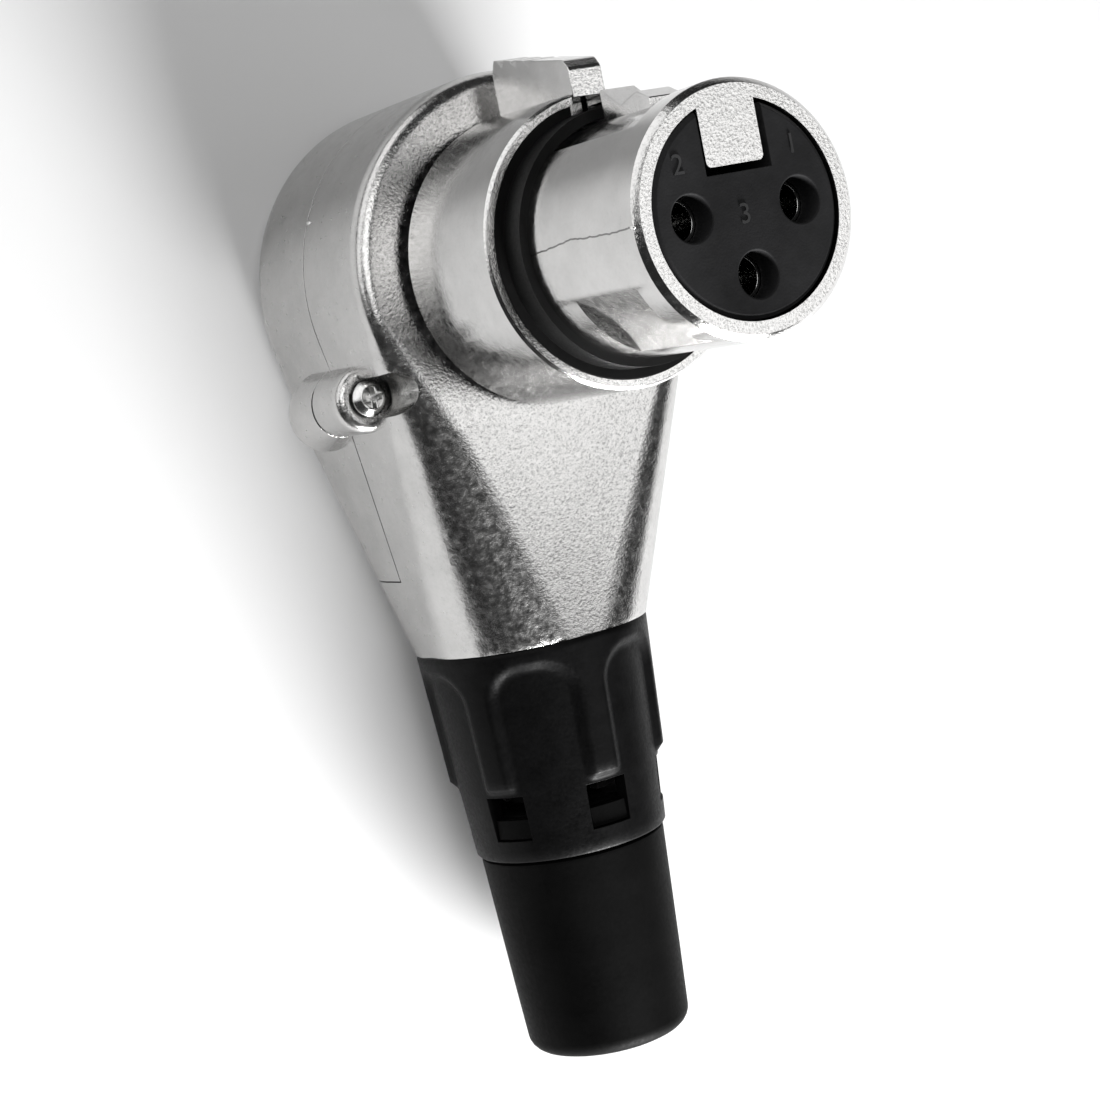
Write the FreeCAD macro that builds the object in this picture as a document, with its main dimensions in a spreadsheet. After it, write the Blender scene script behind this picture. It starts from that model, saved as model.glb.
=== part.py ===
import FreeCAD, Part
import math
import os
import re
import Sketcher
from FreeCAD import Placement, Rotation, Vector

# Right angle 3-pole female audio connector, millimetres.
# It lies on its back: Z = 0 is the flat of the rear cover, +Z is the barrel's axis and the way a mate
# goes on, the cable leaves along -Y and the latch is on the +Y side.

# Driving sizes
SIZES = {
    # die-cast case: a round can that tapers into the cable neck
    "can_shoulder": 3.34,
    "can_depth": 20.2,
    "case_wall": 1.6,
    "back_round": 3.5,
    "front_round": 1.2,
    "inner_round": 0.3,
    "slope_step": 0.4,
    "slope_round": 3.9,
    "neck_reach": 27.0,
    "neck_step": 1.5,
    "neck_flat": 0.9,
    "spigot_wall": 1.0,
    "spigot_length": 7.0,
    "seam_height": 11.1,
    "seam_bend": 5.0,
    "seam_low": 8.9,
    "seam_gap": 0.1,
    "cover_short": 6.0,
    # screw lugs on both sides of the can
    "lug_inset": 1.34,
    "lug_below": 7.8,
    "lug_back": 7.6,
    "lug_lip": 0.8,
    "lug_step": 0.35,
    "boss_lift": 0.6,
    "boss_wall": 0.95,
    "boss_round": 0.8,
    "head_depth": 6.0,
    "head_room": 0.2,
    "screw_head": 1.3,
    "head_height": 1.5,
    "head_slant": 0.45,
    "screw_shank": 1.0,
    "screw_play": 0.06,
    "screw_tip": 6.4,
    "drive_width": 0.42,
    "drive_reach": 0.75,
    "drive_depth": 0.7,
    # barrel and nose: radii first, then heights above the front of the can
    "nose_radius": 7.95,
    "nose_wall": 1.2,
    "ring_width": 1.25,
    "rim_wall": 0.66,
    "rim_draft": 0.24,
    "undercut_depth": 0.5,
    "mount_step": 1.1,
    "flange_step": 0.95,
    "rim_rise": 11.7,
    "nose_length": 15.1,
    "nose_edge": 0.4,
    "rim_edge": 0.2,
    "rebate_depth": 3.0,
    "ring_seat": 0.25,
    "undercut_height": 1.0,
    "mount_length": 4.8,
    "mount_play": 0.08,
    "flange_drop": 5.9,
    "slot_half": 1.45,
    "slot_room": 0.45,
    "slot_end": 0.4,
    "channel_depth": 0.45,
    "channel_drop": 1.43,
    "band_length": 2.5,
    "flat_depth": 0.52,
    "flat_angle": 46.0,
    "flat_reach": 9.8,
    "key_half": 2.08,
    "key_offset": 0.22,
    "key_depth": 4.0,
    "key_length": 5.5,
    "key_round": 0.35,
    # ring nut and ground tag behind the front wall
    "nut_wall": 0.9,
    "nut_height": 2.2,
    "nut_notch": 1.6,
    "tag_thickness": 0.4,
    "tag_width": 2.6,
    "tag_length": 5.0,
    # shoulder ring
    "ring_play": 0.06,
    "lip_wall": 0.55,
    "lip_rise": 2.1,
    "ring_notch": 1.7,
    "notch_wall": 0.4,
    # contact insert
    "insert_play": 0.12,
    "insert_edge": 0.3,
    "tail_drop": 1.2,
    "tail_step": 0.55,
    "flange_thickness": 2.0,
    "notch_half": 2.38,
    "key_clear": 0.47,
    "notch_play": 0.35,
    "latch_depth": 2.35,
    "latch_notch": 1.6,
    "entry_radius": 1.45,
    "entry_depth": 2.0,
    "entry_edge": 0.12,
    "clip_thickness": 0.8,
    "clip_bite": 0.6,
    "clip_width": 0.6,
    "clip_play": 0.06,
    "clip_gap": 3.7,
    # contacts
    "pin_wall": 2.79,
    "contact_radius": 1.6,
    "contact_bore": 1.22,
    "contact_play": 0.05,
    "contact_depth": 12.6,
    "contact_slot": 0.35,
    "slot_depth": 9.0,
    "stop_step": 0.24,
    "stop_thickness": 1.2,
    "cup_radius": 1.5,
    "cup_bore": 1.1,
    "cup_length": 5.4,
    "cup_depth": 3.2,
    "cup_window": 2.6,
    # latch lever: the tab stands on the barrel, the tooth on the nose
    "pivot_in": 0.8,
    "pivot_rise": 2.7,
    "pivot_radius": 0.6,
    "pivot_play": 0.05,
    "seat_play": 0.02,
    "pin_length": 6.0,
    "hub_radius": 1.25,
    "latch_width": 2.5,
    "arm_drop": 0.1,
    "arm_thickness": 0.8,
    "tab_start": 1.64,
    "tab_slant": 0.51,
    "tab_end": 0.08,
    "tab_nose": 0.57,
    "tab_start_rise": 2.7,
    "tab_top_rise": 3.58,
    "tab_bend_rise": 1.95,
    "tab_nose_rise": 1.3,
    "tab_gap": 0.3,
    "tab_round": 0.45,
    "web_gap": 0.3,
    "tooth_back": 6.4,
    "tooth_length": 5.55,
    "tooth_land": 0.3,
    "dip_length": 3.4,
    "crest_length": 1.3,
    "tooth_rise": 1.43,
    "dip_rise": 0.15,
    "crest_rise": 0.65,
    "front_rise": 0.05,
    "serration_step": 1.05,
    "serration_pitch": 1.75,
    "serration_depth": 0.5,
    # leaf spring under the latch
    "leaf_width": 2.0,
    "leaf_thickness": 0.2,
    "leaf_length": 8.4,
    "leaf_back": 2.4,
    # liner inside the rear cover
    "liner_gap": 0.44,
    "liner_wall": 0.6,
    "liner_height": 8.6,
    "liner_corner": 2.0,
    "liner_window": 5.0,
    "liner_play": 0.06,
    # cable gland: lengths are measured along the cable from the end of the neck
    "chuck_in": 2.5,
    "chuck_out": 12.0,
    "chuck_play": 0.1,
    "chuck_ease": 0.3,
    "chuck_wall": 2.4,
    "chuck_tip_wall": 1.0,
    "chuck_step": 0.1,
    "shoulder_length": 1.4,
    "jaw_slot": 0.9,
    "jaw_step": 0.5,
    "collar_proud": 0.28,
    "collar_lift": 0.16,
    "collar_length": 15.87,
    "collar_draft": 0.95,
    "collar_step": 0.55,
    "thread_play": 0.08,
    "thread_depth": 8.6,
    "collar_turn": 2.5,
    "band_height": 1.3,
    "rib_length": 10.0,
    "rib_draft": 0.56,
    "rib_height": 0.55,
    "rib_slant": 0.6,
    "flute_angle": 46.0,
    "flute_corner": 2.0,
    "window_half": 1.6,
    "window_drop": 0.8,
    "window_length": 3.4,
    "boot_play": 0.08,
    "boot_clear": 0.3,
    "boot_step": 0.27,
    "boot_gap": 0.1,
    "boot_length": 15.64,
    "boot_draft": 0.84,
    "boot_round": 1.2,
    "boot_bore": 3.3,
    "boot_lug_half": 1.45,
    "boot_lug_proud": 0.03,
    "boot_lug_length": 1.5,
}

# Places that follow from the sizes: each is a sum, so a piece moves with what carries it
PLACES = {
    # radii of the barrel, from the nose outwards
    "nose_bore": "nose_radius - nose_wall",
    "seat_radius": "nose_radius - ring_seat",
    "rim_bore": "nose_radius + ring_width",
    "rim_radius": "rim_bore + rim_wall",
    "root_radius": "rim_radius + rim_draft",
    "undercut_radius": "root_radius - undercut_depth",
    "mount_radius": "root_radius - mount_step",
    "rear_bore": "nose_bore + flange_step",
    "nut_radius": "mount_radius + nut_wall",
    "lip_radius": "nose_radius + lip_wall",
    "ring_web": "nose_radius + notch_wall",
    "channel_floor": "nose_radius - channel_depth",
    "channel_side": "channel_floor - channel_drop",
    "flat_distance": "nose_radius - flat_depth",
    "tail_radius": "nose_bore - tail_step",
    "key_bottom": "nose_bore - key_depth",
    "notch_bottom": "key_bottom - key_clear",
    "pin_circle": "nose_bore - pin_wall",
    "stop_radius": "contact_radius + stop_step",
    "latch_floor": "nose_bore - latch_depth",
    "clip_outer": "rear_bore + clip_bite",
    "clip_inner": "rear_bore - clip_width",
    # heights up the barrel
    "rim_height": "can_depth + rim_rise",
    "nose_front": "rim_height + nose_length",
    "lip_height": "rim_height + lip_rise",
    "flange_seat": "rim_height - flange_drop",
    "insert_tail": "can_depth - tail_drop",
    "channel_end": "nose_front - band_length",
    "flat_rear": "nose_front - flat_reach",
    "cup_end": "insert_tail - cup_length",
    # latch: distance out from the barrel's axis, and height
    "pivot_out": "mount_radius - pivot_in",
    "pivot_height": "can_depth + pivot_rise",
    "arm_top": "seat_radius - arm_drop",
    "arm_bottom": "arm_top - arm_thickness",
    "tab_rear_out": "root_radius + tab_start_rise",
    "tab_top_out": "root_radius + tab_top_rise",
    "tab_bend_out": "root_radius + tab_bend_rise",
    "tab_nose_out": "root_radius + tab_nose_rise",
    "tab_under": "rim_bore + tab_gap",
    "tab_rear": "can_depth + tab_start",
    "tab_top": "tab_rear + tab_slant",
    "tab_front": "rim_height - tab_end",
    "tab_bend": "tab_front - tab_nose",
    "web_front": "rim_height - rebate_depth - web_gap",
    "tooth_front": "nose_front - tooth_back",
    "tooth_crest": "tooth_front - crest_length",
    "tooth_dip": "tooth_front - dip_length",
    "tooth_rear": "tooth_front - tooth_length",
    "tooth_out": "nose_radius + tooth_rise",
    "dip_out": "nose_radius + dip_rise",
    "crest_out": "nose_radius + crest_rise",
    "front_out": "nose_radius + front_rise",
    "serration_start": "tab_top + serration_step",
    "slot_rear": "pivot_height - hub_radius - slot_room",
    "slot_front": "tooth_front + slot_end",
    "leaf_rear": "pivot_height + hub_radius + slot_room",
    "leaf_front": "leaf_rear + leaf_length",
    "leaf_tip": "leaf_rear + leaf_back",
    # case and lugs
    "can_radius": "root_radius + can_shoulder",
    "slope_start": "root_radius + slope_step",
    "lug_across": "can_radius - lug_inset",
    "lug_floor": "can_depth - head_depth",
    "boss_below": "lug_below - boss_lift",
    "counterbore": "screw_head + head_room",
    "boss_radius": "counterbore + boss_wall",
    "lug_radius": "boss_radius + lug_step",
    "cover_reach": "neck_reach - cover_short",
    "liner_radius": "can_radius - case_wall - liner_gap",
    # gland: radii from the cable outwards, then distances from the barrel's axis
    "chuck_bore": "boot_bore + chuck_ease",
    "chuck_tip": "chuck_bore + chuck_tip_wall",
    "neck_bore": "chuck_bore + chuck_wall",
    "spigot_radius": "neck_bore + spigot_wall",
    "chuck_shoulder": "spigot_radius - chuck_step",
    "collar_bore": "spigot_radius - collar_step",
    "neck_half": "spigot_radius + neck_step",
    "collar_top": "neck_half + collar_proud",
    "neck_height": "collar_top + collar_lift",
    "rib_radius": "collar_top - rib_draft",
    "collar_end_radius": "rib_radius - collar_draft",
    "boot_top": "collar_end_radius - boot_step",
    "boot_end_radius": "boot_top - boot_draft",
    "boot_lug_out": "collar_end_radius + boot_lug_proud",
    "chuck_start": "neck_reach - chuck_in",
    "jaw_start": "neck_reach + jaw_step",
    "chuck_end": "neck_reach + chuck_out",
    "collar_end": "neck_reach + collar_length",
    "rib_end": "neck_reach + rib_length",
    "window_start": "rib_end + window_drop",
    "window_end": "window_start + window_length",
    "boot_start": "chuck_end + boot_clear",
    "boot_end": "collar_end + boot_length",
}

COUNT_OF_RIBS = 6
COUNT_OF_NOTCHES = 4
COUNT_OF_JAWS = 4
COUNT_OF_SERRATIONS = 3
# a cut or bar straight through the axis makes two windows or lugs, so half a turn of them is enough
THROUGH_TURN = 180.0 - 360.0 / COUNT_OF_RIBS
SOCKET_ANGLES = {"contact_1": 0.0, "contact_2": 180.0, "contact_3": -90.0}

doc = FreeCAD.newDocument("right_angle_connector")
sizes = doc.addObject("Spreadsheet::Sheet", "sizes")
for row, (alias, value) in enumerate(SIZES.items(), start=1):
    sizes.set("A%d" % row, alias)
    sizes.set("B%d" % row, str(value))
    sizes.setAlias("B%d" % row, alias)
doc.recompute()


def mm(name):
    """A size read from the sheet, or a place added up from such sizes, as a number."""
    if name in SIZES:
        return float(sizes.get(name))
    terms = re.findall(r"(-?) ?(\w+)", PLACES[name])
    return sum(-mm(term) if sign else mm(term) for sign, term in terms)


def linked(expression):
    """The same expression with each place written out and the sheet's name before each size."""

    def written_out(word):
        name = word.group()
        if name in PLACES:
            return "(" + linked(PLACES[name]) + ")"
        return "sizes." + name if name in SIZES else name

    return re.sub(r"[a-z]\w*", written_out, expression)


def plane_of(body, role):
    """One of a body's own origin planes or axes."""
    return next(item for item in body.Origin.OriginFeatures if item.Role == role)


def new_body(name):
    body = doc.addObject("PartDesign::Body", name)
    body.Label = name
    return body


def new_sketch(body, role, lift="0", turn=0.0):
    """A sketch on an origin plane, lifted along the plane's normal and turned in the plane."""
    sketch = body.newObject("Sketcher::SketchObject", body.Name + "_sketch")
    sketch.AttachmentSupport = [(plane_of(body, role), "")]
    sketch.MapMode = "FlatFace"
    sketch.AttachmentOffset = Placement(Vector(), Rotation(Vector(0, 0, 1), turn))
    sketch.setExpression("AttachmentOffset.Base.z", linked(lift))
    return sketch


def place_points(sketch, points):
    """Ties points of a sketch to two expressions each: (geometry, end, across, up)."""
    for item, end, across, up in points:
        start = sketch.getPoint(item, end)
        for kind, axis, expression, value in (
            ("DistanceX", -2, across, start.x),
            ("DistanceY", -1, up, start.y),
        ):
            if expression == "0":
                sketch.addConstraint(Sketcher.Constraint("PointOnObject", item, end, axis))
            else:
                index = sketch.addConstraint(Sketcher.Constraint(kind, -1, 1, item, end, value))
                sketch.setExpression("Constraints[%d]" % index, linked(expression))


def outline(sketch, corners):
    """A closed outline of straight lines; each corner is a pair of expressions."""
    count = len(corners)
    first = sketch.GeometryCount
    angles = [2 * math.pi * i / count + 0.1 for i in range(count)]
    ring = [Vector(math.cos(a), math.sin(a), 0) for a in angles]
    for i in range(count):
        sketch.addGeometry(Part.LineSegment(ring[i], ring[(i + 1) % count]))
    for i in range(count):
        following = first + (i + 1) % count
        sketch.addConstraint(Sketcher.Constraint("Coincident", first + i, 2, following, 1))
    place_points(sketch, [(first + i, 1, *corner) for i, corner in enumerate(corners)])


def rectangle(sketch, left, bottom, right, top):
    outline(sketch, [(left, bottom), (right, bottom), (right, top), (left, top)])


def circle(sketch, across, up, radius):
    item = sketch.addGeometry(Part.Circle(Vector(), Vector(0, 0, 1), 1.0))
    index = sketch.addConstraint(Sketcher.Constraint("Radius", item, 1.0))
    sketch.setExpression("Constraints[%d]" % index, linked(radius))
    place_points(sketch, [(item, 3, across, up)])


def settle(body, feature, grows):
    """Recomputes and makes sure that the feature added or took away material."""
    before = body.Shape.Volume if not body.Shape.isNull() else 0.0
    body.Tip = feature
    doc.recompute()
    change = feature.Shape.Volume - before
    if (change <= 0) if grows else (change >= 0):
        raise RuntimeError("%s changes nothing in %s" % (feature.Name, body.Name))
    return feature


def turned(body, corners):
    """A solid of revolution about the body's Z; corners are (radius, height) pairs."""
    sketch = new_sketch(body, "XZ_Plane")
    outline(sketch, corners)
    feature = body.newObject("PartDesign::Revolution", body.Name + "_turned")
    feature.Profile = sketch
    feature.ReferenceAxis = (sketch, ["V_Axis"])
    feature.Angle = 360
    return settle(body, feature, True)


def groove(body, corners, angle=None):
    """A turned cut; with an angle it is a sector centred on the body's X axis."""
    sketch = new_sketch(body, "XZ_Plane")
    outline(sketch, corners)
    feature = body.newObject("PartDesign::Groove", body.Name + "_groove")
    feature.Profile = sketch
    feature.ReferenceAxis = (sketch, ["V_Axis"])
    if angle:
        feature.Midplane = True
        feature.setExpression("Angle", linked(angle))
    else:
        feature.Angle = 360
    return settle(body, feature, False)


def extruded(body, sketch, length, cuts, both_ways=False, reverse=False):
    """A pad, or a pocket where it cuts, of a sketch over a length."""
    kind = "Pocket" if cuts else "Pad"
    feature = body.newObject("PartDesign::" + kind, body.Name + "_" + kind.lower())
    feature.Profile = sketch
    feature.SideType = "Symmetric" if both_ways else "One side"
    feature.Reversed = reverse
    feature.setExpression("Length", linked(length))
    return settle(body, feature, not cuts)


def repeated(body, original, count, turn=360.0):
    """Copies of a feature round the body's Z axis."""
    feature = body.newObject("PartDesign::PolarPattern", body.Name + "_pattern")
    feature.Originals = [original]
    feature.Axis = (plane_of(body, "Z_Axis"), [""])
    feature.Angle = turn
    feature.Occurrences = count
    grows = original.TypeId == "PartDesign::Pad"
    return settle(body, feature, grows)


def mirrored(body, original):
    """The same feature on the other side of the body's YZ plane."""
    feature = body.newObject("PartDesign::Mirrored", body.Name + "_mirror")
    feature.Originals = [original]
    feature.MirrorPlane = (plane_of(body, "YZ_Plane"), [""])
    return settle(body, feature, original.TypeId == "PartDesign::Pad")


def dressed(body, kind, wanted, size):
    """A fillet or chamfer on the edges of the tip for which wanted(edge) is true."""
    base = body.Tip
    names = ["Edge%d" % i for i, edge in enumerate(base.Shape.Edges, start=1) if wanted(edge)]
    if not names:
        raise RuntimeError("no edge to dress in " + body.Name)
    feature = body.newObject("PartDesign::" + kind, body.Name + "_" + kind.lower())
    feature.Base = (base, names)
    feature.setExpression("Radius" if kind == "Fillet" else "Size", linked(size))
    body.Tip = feature
    doc.recompute()
    return feature


def ring_edge(radius, height):
    """Picks the round edges of one radius and height about the body's Z."""

    def wanted(edge):
        curve = edge.Curve
        return (
            isinstance(curve, Part.Circle)
            and abs(curve.Radius - radius) < 1e-4
            and abs(curve.Center.z - height) < 1e-4
            and math.hypot(curve.Center.x, curve.Center.y) < 1e-4
        )

    return wanted


def along_cable(body, turn=0.0):
    """Turns a piece made on Z so that it runs along the cable, away from the barrel."""
    spin = Rotation(Vector(0, -1, 0), turn)
    body.Placement = Placement(Vector(), spin.multiply(Rotation(Vector(1, 0, 0), 90)))
    body.setExpression("Placement.Base.z", linked("neck_height"))


def plain_feature(name, shape):
    """A part whose shape is worked out here, with its own label."""
    feature = doc.addObject("Part::Feature", name)
    feature.Label = name
    feature.Shape = shape
    feature.Placement = Placement()
    return feature


# Case: one outer form, cut at the side seam into the front housing and the rear cover


def lean():
    """The angle, seen along the barrel, at which the straight side walls leave the round can."""
    end = Vector(mm("neck_half"), -mm("neck_reach"), 0)
    return math.atan2(-end.y, end.x) - math.acos(mm("can_radius") / end.Length)


def wall_half(y, inset):
    """Half the width of the case where its side walls run straight from can to neck."""
    return (mm("can_radius") - inset + y * math.sin(lean())) / math.cos(lean())


def half_section(base, across, half, low, high, low_round, high_round, is_round):
    """One side of a cross section, closed on the middle plane, with round or bevelled corners."""

    def point(x, z):
        return base + across * x + Vector(0, 0, z)

    edges = []
    last = point(0, low)
    for z, radius, start in ((low + low_round, low_round, -90), (high - high_round, high_round, 0)):
        bend = []
        for angle in (start, start + 45, start + 90):
            a = math.radians(angle)
            bend.append(point(half - radius + radius * math.cos(a), z + radius * math.sin(a)))
        edges.append(Part.LineSegment(last, bend[0]).toShape())
        corner = Part.Arc(*bend) if is_round else Part.LineSegment(bend[0], bend[-1])
        edges.append(corner.toShape())
        last = bend[-1]
    edges.append(Part.LineSegment(last, point(0, high)).toShape())
    edges.append(Part.LineSegment(point(0, high), point(0, low)).toShape())
    return Part.Wire(edges)


def case_form(inset):
    """The solid form of the case, shrunk evenly by inset; the shrunk one has bevels for rounds.

    The can is round down to the two radial planes where the side walls touch it. From there each
    half is lofted in straight lines to the bend of the front slope and on to the neck.
    """
    is_outside = inset == 0
    low = inset
    high = mm("can_depth") - inset
    radius = mm("can_radius") - inset
    back = max(mm("back_round") - inset, mm("inner_round"))
    front = max(mm("front_round") - inset, mm("inner_round"))
    turn = math.degrees(lean())
    can = Part.makeCylinder(radius, high - low, Vector(0, 0, low), Vector(0, 0, 1), 180 + 2 * turn)
    can.rotate(Vector(), Vector(0, 0, 1), -turn)
    for height, size in ((low, back), (high, front)):
        rim = [edge for edge in can.Edges if ring_edge(radius, height)(edge)]
        can = can.makeFillet(size, rim) if is_outside else can.makeChamfer(size, rim)
    bend = -mm("slope_start")
    slope = max(mm("slope_round") - inset, mm("inner_round"))
    neck = mm("neck_half") - inset
    end_round = neck - mm("neck_flat")
    centre = mm("neck_height")
    side = Vector(1, 0, 0)
    touching = Vector(math.cos(lean()), -math.sin(lean()), 0)
    at_bend = Vector(0, bend, 0)
    at_neck = Vector(0, -mm("neck_reach"), 0)
    bend_half = wall_half(bend, inset)
    low_neck, high_neck = centre - neck, centre + neck
    sections = [
        half_section(Vector(), touching, radius, low, high, back, front, is_outside),
        half_section(at_bend, side, bend_half, low, high, back, slope, is_outside),
        half_section(at_neck, side, neck, low_neck, high_neck, end_round, end_round, is_outside),
    ]
    half = Part.makeLoft(sections, True, True)
    return can.fuse([half, half.mirror(Vector(), side)]).removeSplitter()


def seam_block(gap):
    """Everything behind the side seam, as far along the neck as the cover goes."""
    reach = mm("can_radius") + mm("lug_radius")
    seam = mm("seam_height") - gap
    low = mm("seam_low") - gap
    end = -mm("cover_reach") + gap
    below = -mm("can_radius")
    points = [
        Vector(-reach, reach, below),
        Vector(-reach, reach, seam),
        Vector(-reach, -mm("seam_bend"), seam),
        Vector(-reach, end, low),
        Vector(-reach, end, below),
    ]
    face = Part.Face(Part.makePolygon(points + points[:1]))
    return face.extrude(Vector(2 * reach, 0, 0))


def upright(side, radius, low, high):
    """A cylinder on a screw's axis."""
    base = Vector(side * mm("lug_across"), -mm("boss_below"), low)
    return Part.makeCylinder(radius, high - low, base)


def lug(side):
    """A screw lug: a boss with a rounded rim, and behind the seam a wider lobe with a ball end."""
    top = mm("lug_floor") + mm("lug_lip")
    boss = upright(side, mm("boss_radius"), mm("lug_back"), top)
    rim = [edge for edge in boss.Edges if abs(edge.BoundBox.ZMin - top) < 1e-4]
    boss = boss.makeFillet(mm("boss_round"), rim)
    centre = Vector(side * mm("lug_across"), -mm("lug_below"), mm("lug_back"))
    lobe = Part.makeCylinder(mm("lug_radius"), top - mm("lug_back"), centre)
    return boss.fuse([lobe.common(seam_block(mm("seam_gap"))), Part.makeSphere(mm("lug_radius"), centre)])


def neck_cylinder(radius, start, end):
    """A cylinder on the cable's axis."""
    base = Vector(0, -start, mm("neck_height"))
    return Part.makeCylinder(radius, end - start, base, Vector(0, -1, 0))


def make_case():
    outer = case_form(0.0)
    room = case_form(mm("case_wall"))
    neck_wall = mm("neck_reach") - mm("case_wall")
    room = room.cut(neck_cylinder(mm("can_radius"), neck_wall, 2 * mm("neck_reach")))
    high = mm("can_depth")
    spigot_end = mm("neck_reach") + mm("spigot_length")
    lugs = [lug(-1), lug(1)]
    for side in (-1, 1):
        post = upright(side, mm("boss_radius"), mm("lug_back"), high)
        lugs.append(post.common(outer))
    hollow = outer.cut(room).fuse(lugs).removeSplitter()
    hollow = hollow.cut(neck_cylinder(mm("neck_bore"), mm("cover_reach"), spigot_end))

    cover = hollow.common(seam_block(mm("seam_gap")))
    housing = hollow.cut(seam_block(0.0))
    housing = housing.fuse(neck_cylinder(mm("spigot_radius"), mm("neck_reach"), spigot_end))
    housing = housing.cut(neck_cylinder(mm("neck_bore"), mm("cover_reach"), spigot_end))
    opening = mm("mount_radius") + mm("mount_play")
    housing = housing.cut(Part.makeCylinder(opening, high, Vector(0, 0, high - 2 * mm("case_wall"))))
    shank = mm("screw_shank") + mm("screw_play")
    for side in (-1, 1):
        housing = housing.cut(upright(side, mm("counterbore"), mm("lug_floor"), high + mm("case_wall")))
        housing = housing.cut(upright(side, shank, 0.0, mm("lug_floor")))
        cover = cover.cut(upright(side, shank, mm("screw_tip") - mm("screw_play"), mm("lug_floor")))
    plain_feature("front_housing", housing.removeSplitter())
    plain_feature("rear_cover", cover.removeSplitter())


def make_screw(name, side):
    """A pan head screw with a cross recess, put in from the front."""
    body = new_body(name)
    top = "lug_floor + head_height"
    turned(body, [
        ("0", "screw_tip"),
        ("screw_shank", "screw_tip"),
        ("screw_shank", "lug_floor"),
        ("screw_head", "lug_floor"),
        ("screw_head", top + " - head_slant"),
        ("screw_head - head_slant", top),
        ("0", top),
    ])
    for across, up in (("drive_reach", "drive_width / 2"), ("drive_width / 2", "drive_reach")):
        sketch = new_sketch(body, "XY_Plane", top)
        rectangle(sketch, "-(%s)" % across, "-(%s)" % up, across, up)
        extruded(body, sketch, "drive_depth", True)
    body.setExpression("Placement.Base.x", linked("%d * lug_across" % side))
    body.setExpression("Placement.Base.y", linked("-boss_below"))


# Barrel


def channel_outline(sketch):
    """The shallow channel each side of the latch: a round floor between two level sides."""
    far = "nose_radius + case_wall"
    arc = Part.ArcOfCircle(Part.Circle(Vector(), Vector(0, 0, 1), 1.0), 0.9, 2.2)
    floor = sketch.addGeometry(arc)
    right, left = sketch.getPoint(floor, 1), sketch.getPoint(floor, 2)
    path = [left, Vector(-2, 1, 0), Vector(-2, 3, 0), Vector(2, 3, 0), Vector(2, 1, 0), right]
    lines = [sketch.addGeometry(Part.LineSegment(a, b)) for a, b in zip(path, path[1:])]
    sketch.addConstraint(Sketcher.Constraint("Coincident", floor, 3, -1, 1))
    sketch.addConstraint(Sketcher.Constraint("Coincident", floor, 2, lines[0], 1))
    for one, other in zip(lines, lines[1:]):
        sketch.addConstraint(Sketcher.Constraint("Coincident", one, 2, other, 1))
    sketch.addConstraint(Sketcher.Constraint("Coincident", lines[-1], 2, floor, 1))
    for line in (lines[0], lines[-1]):
        sketch.addConstraint(Sketcher.Constraint("Horizontal", line))
    place_points(sketch, [
        (lines[1], 1, "-(%s)" % far, "channel_side"),
        (lines[2], 1, "-(%s)" % far, far),
        (lines[3], 1, far, far),
        (lines[4], 1, far, "channel_side"),
    ])
    index = sketch.addConstraint(Sketcher.Constraint("Radius", floor, 1.0))
    sketch.setExpression("Constraints[%d]" % index, linked("channel_floor"))


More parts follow.
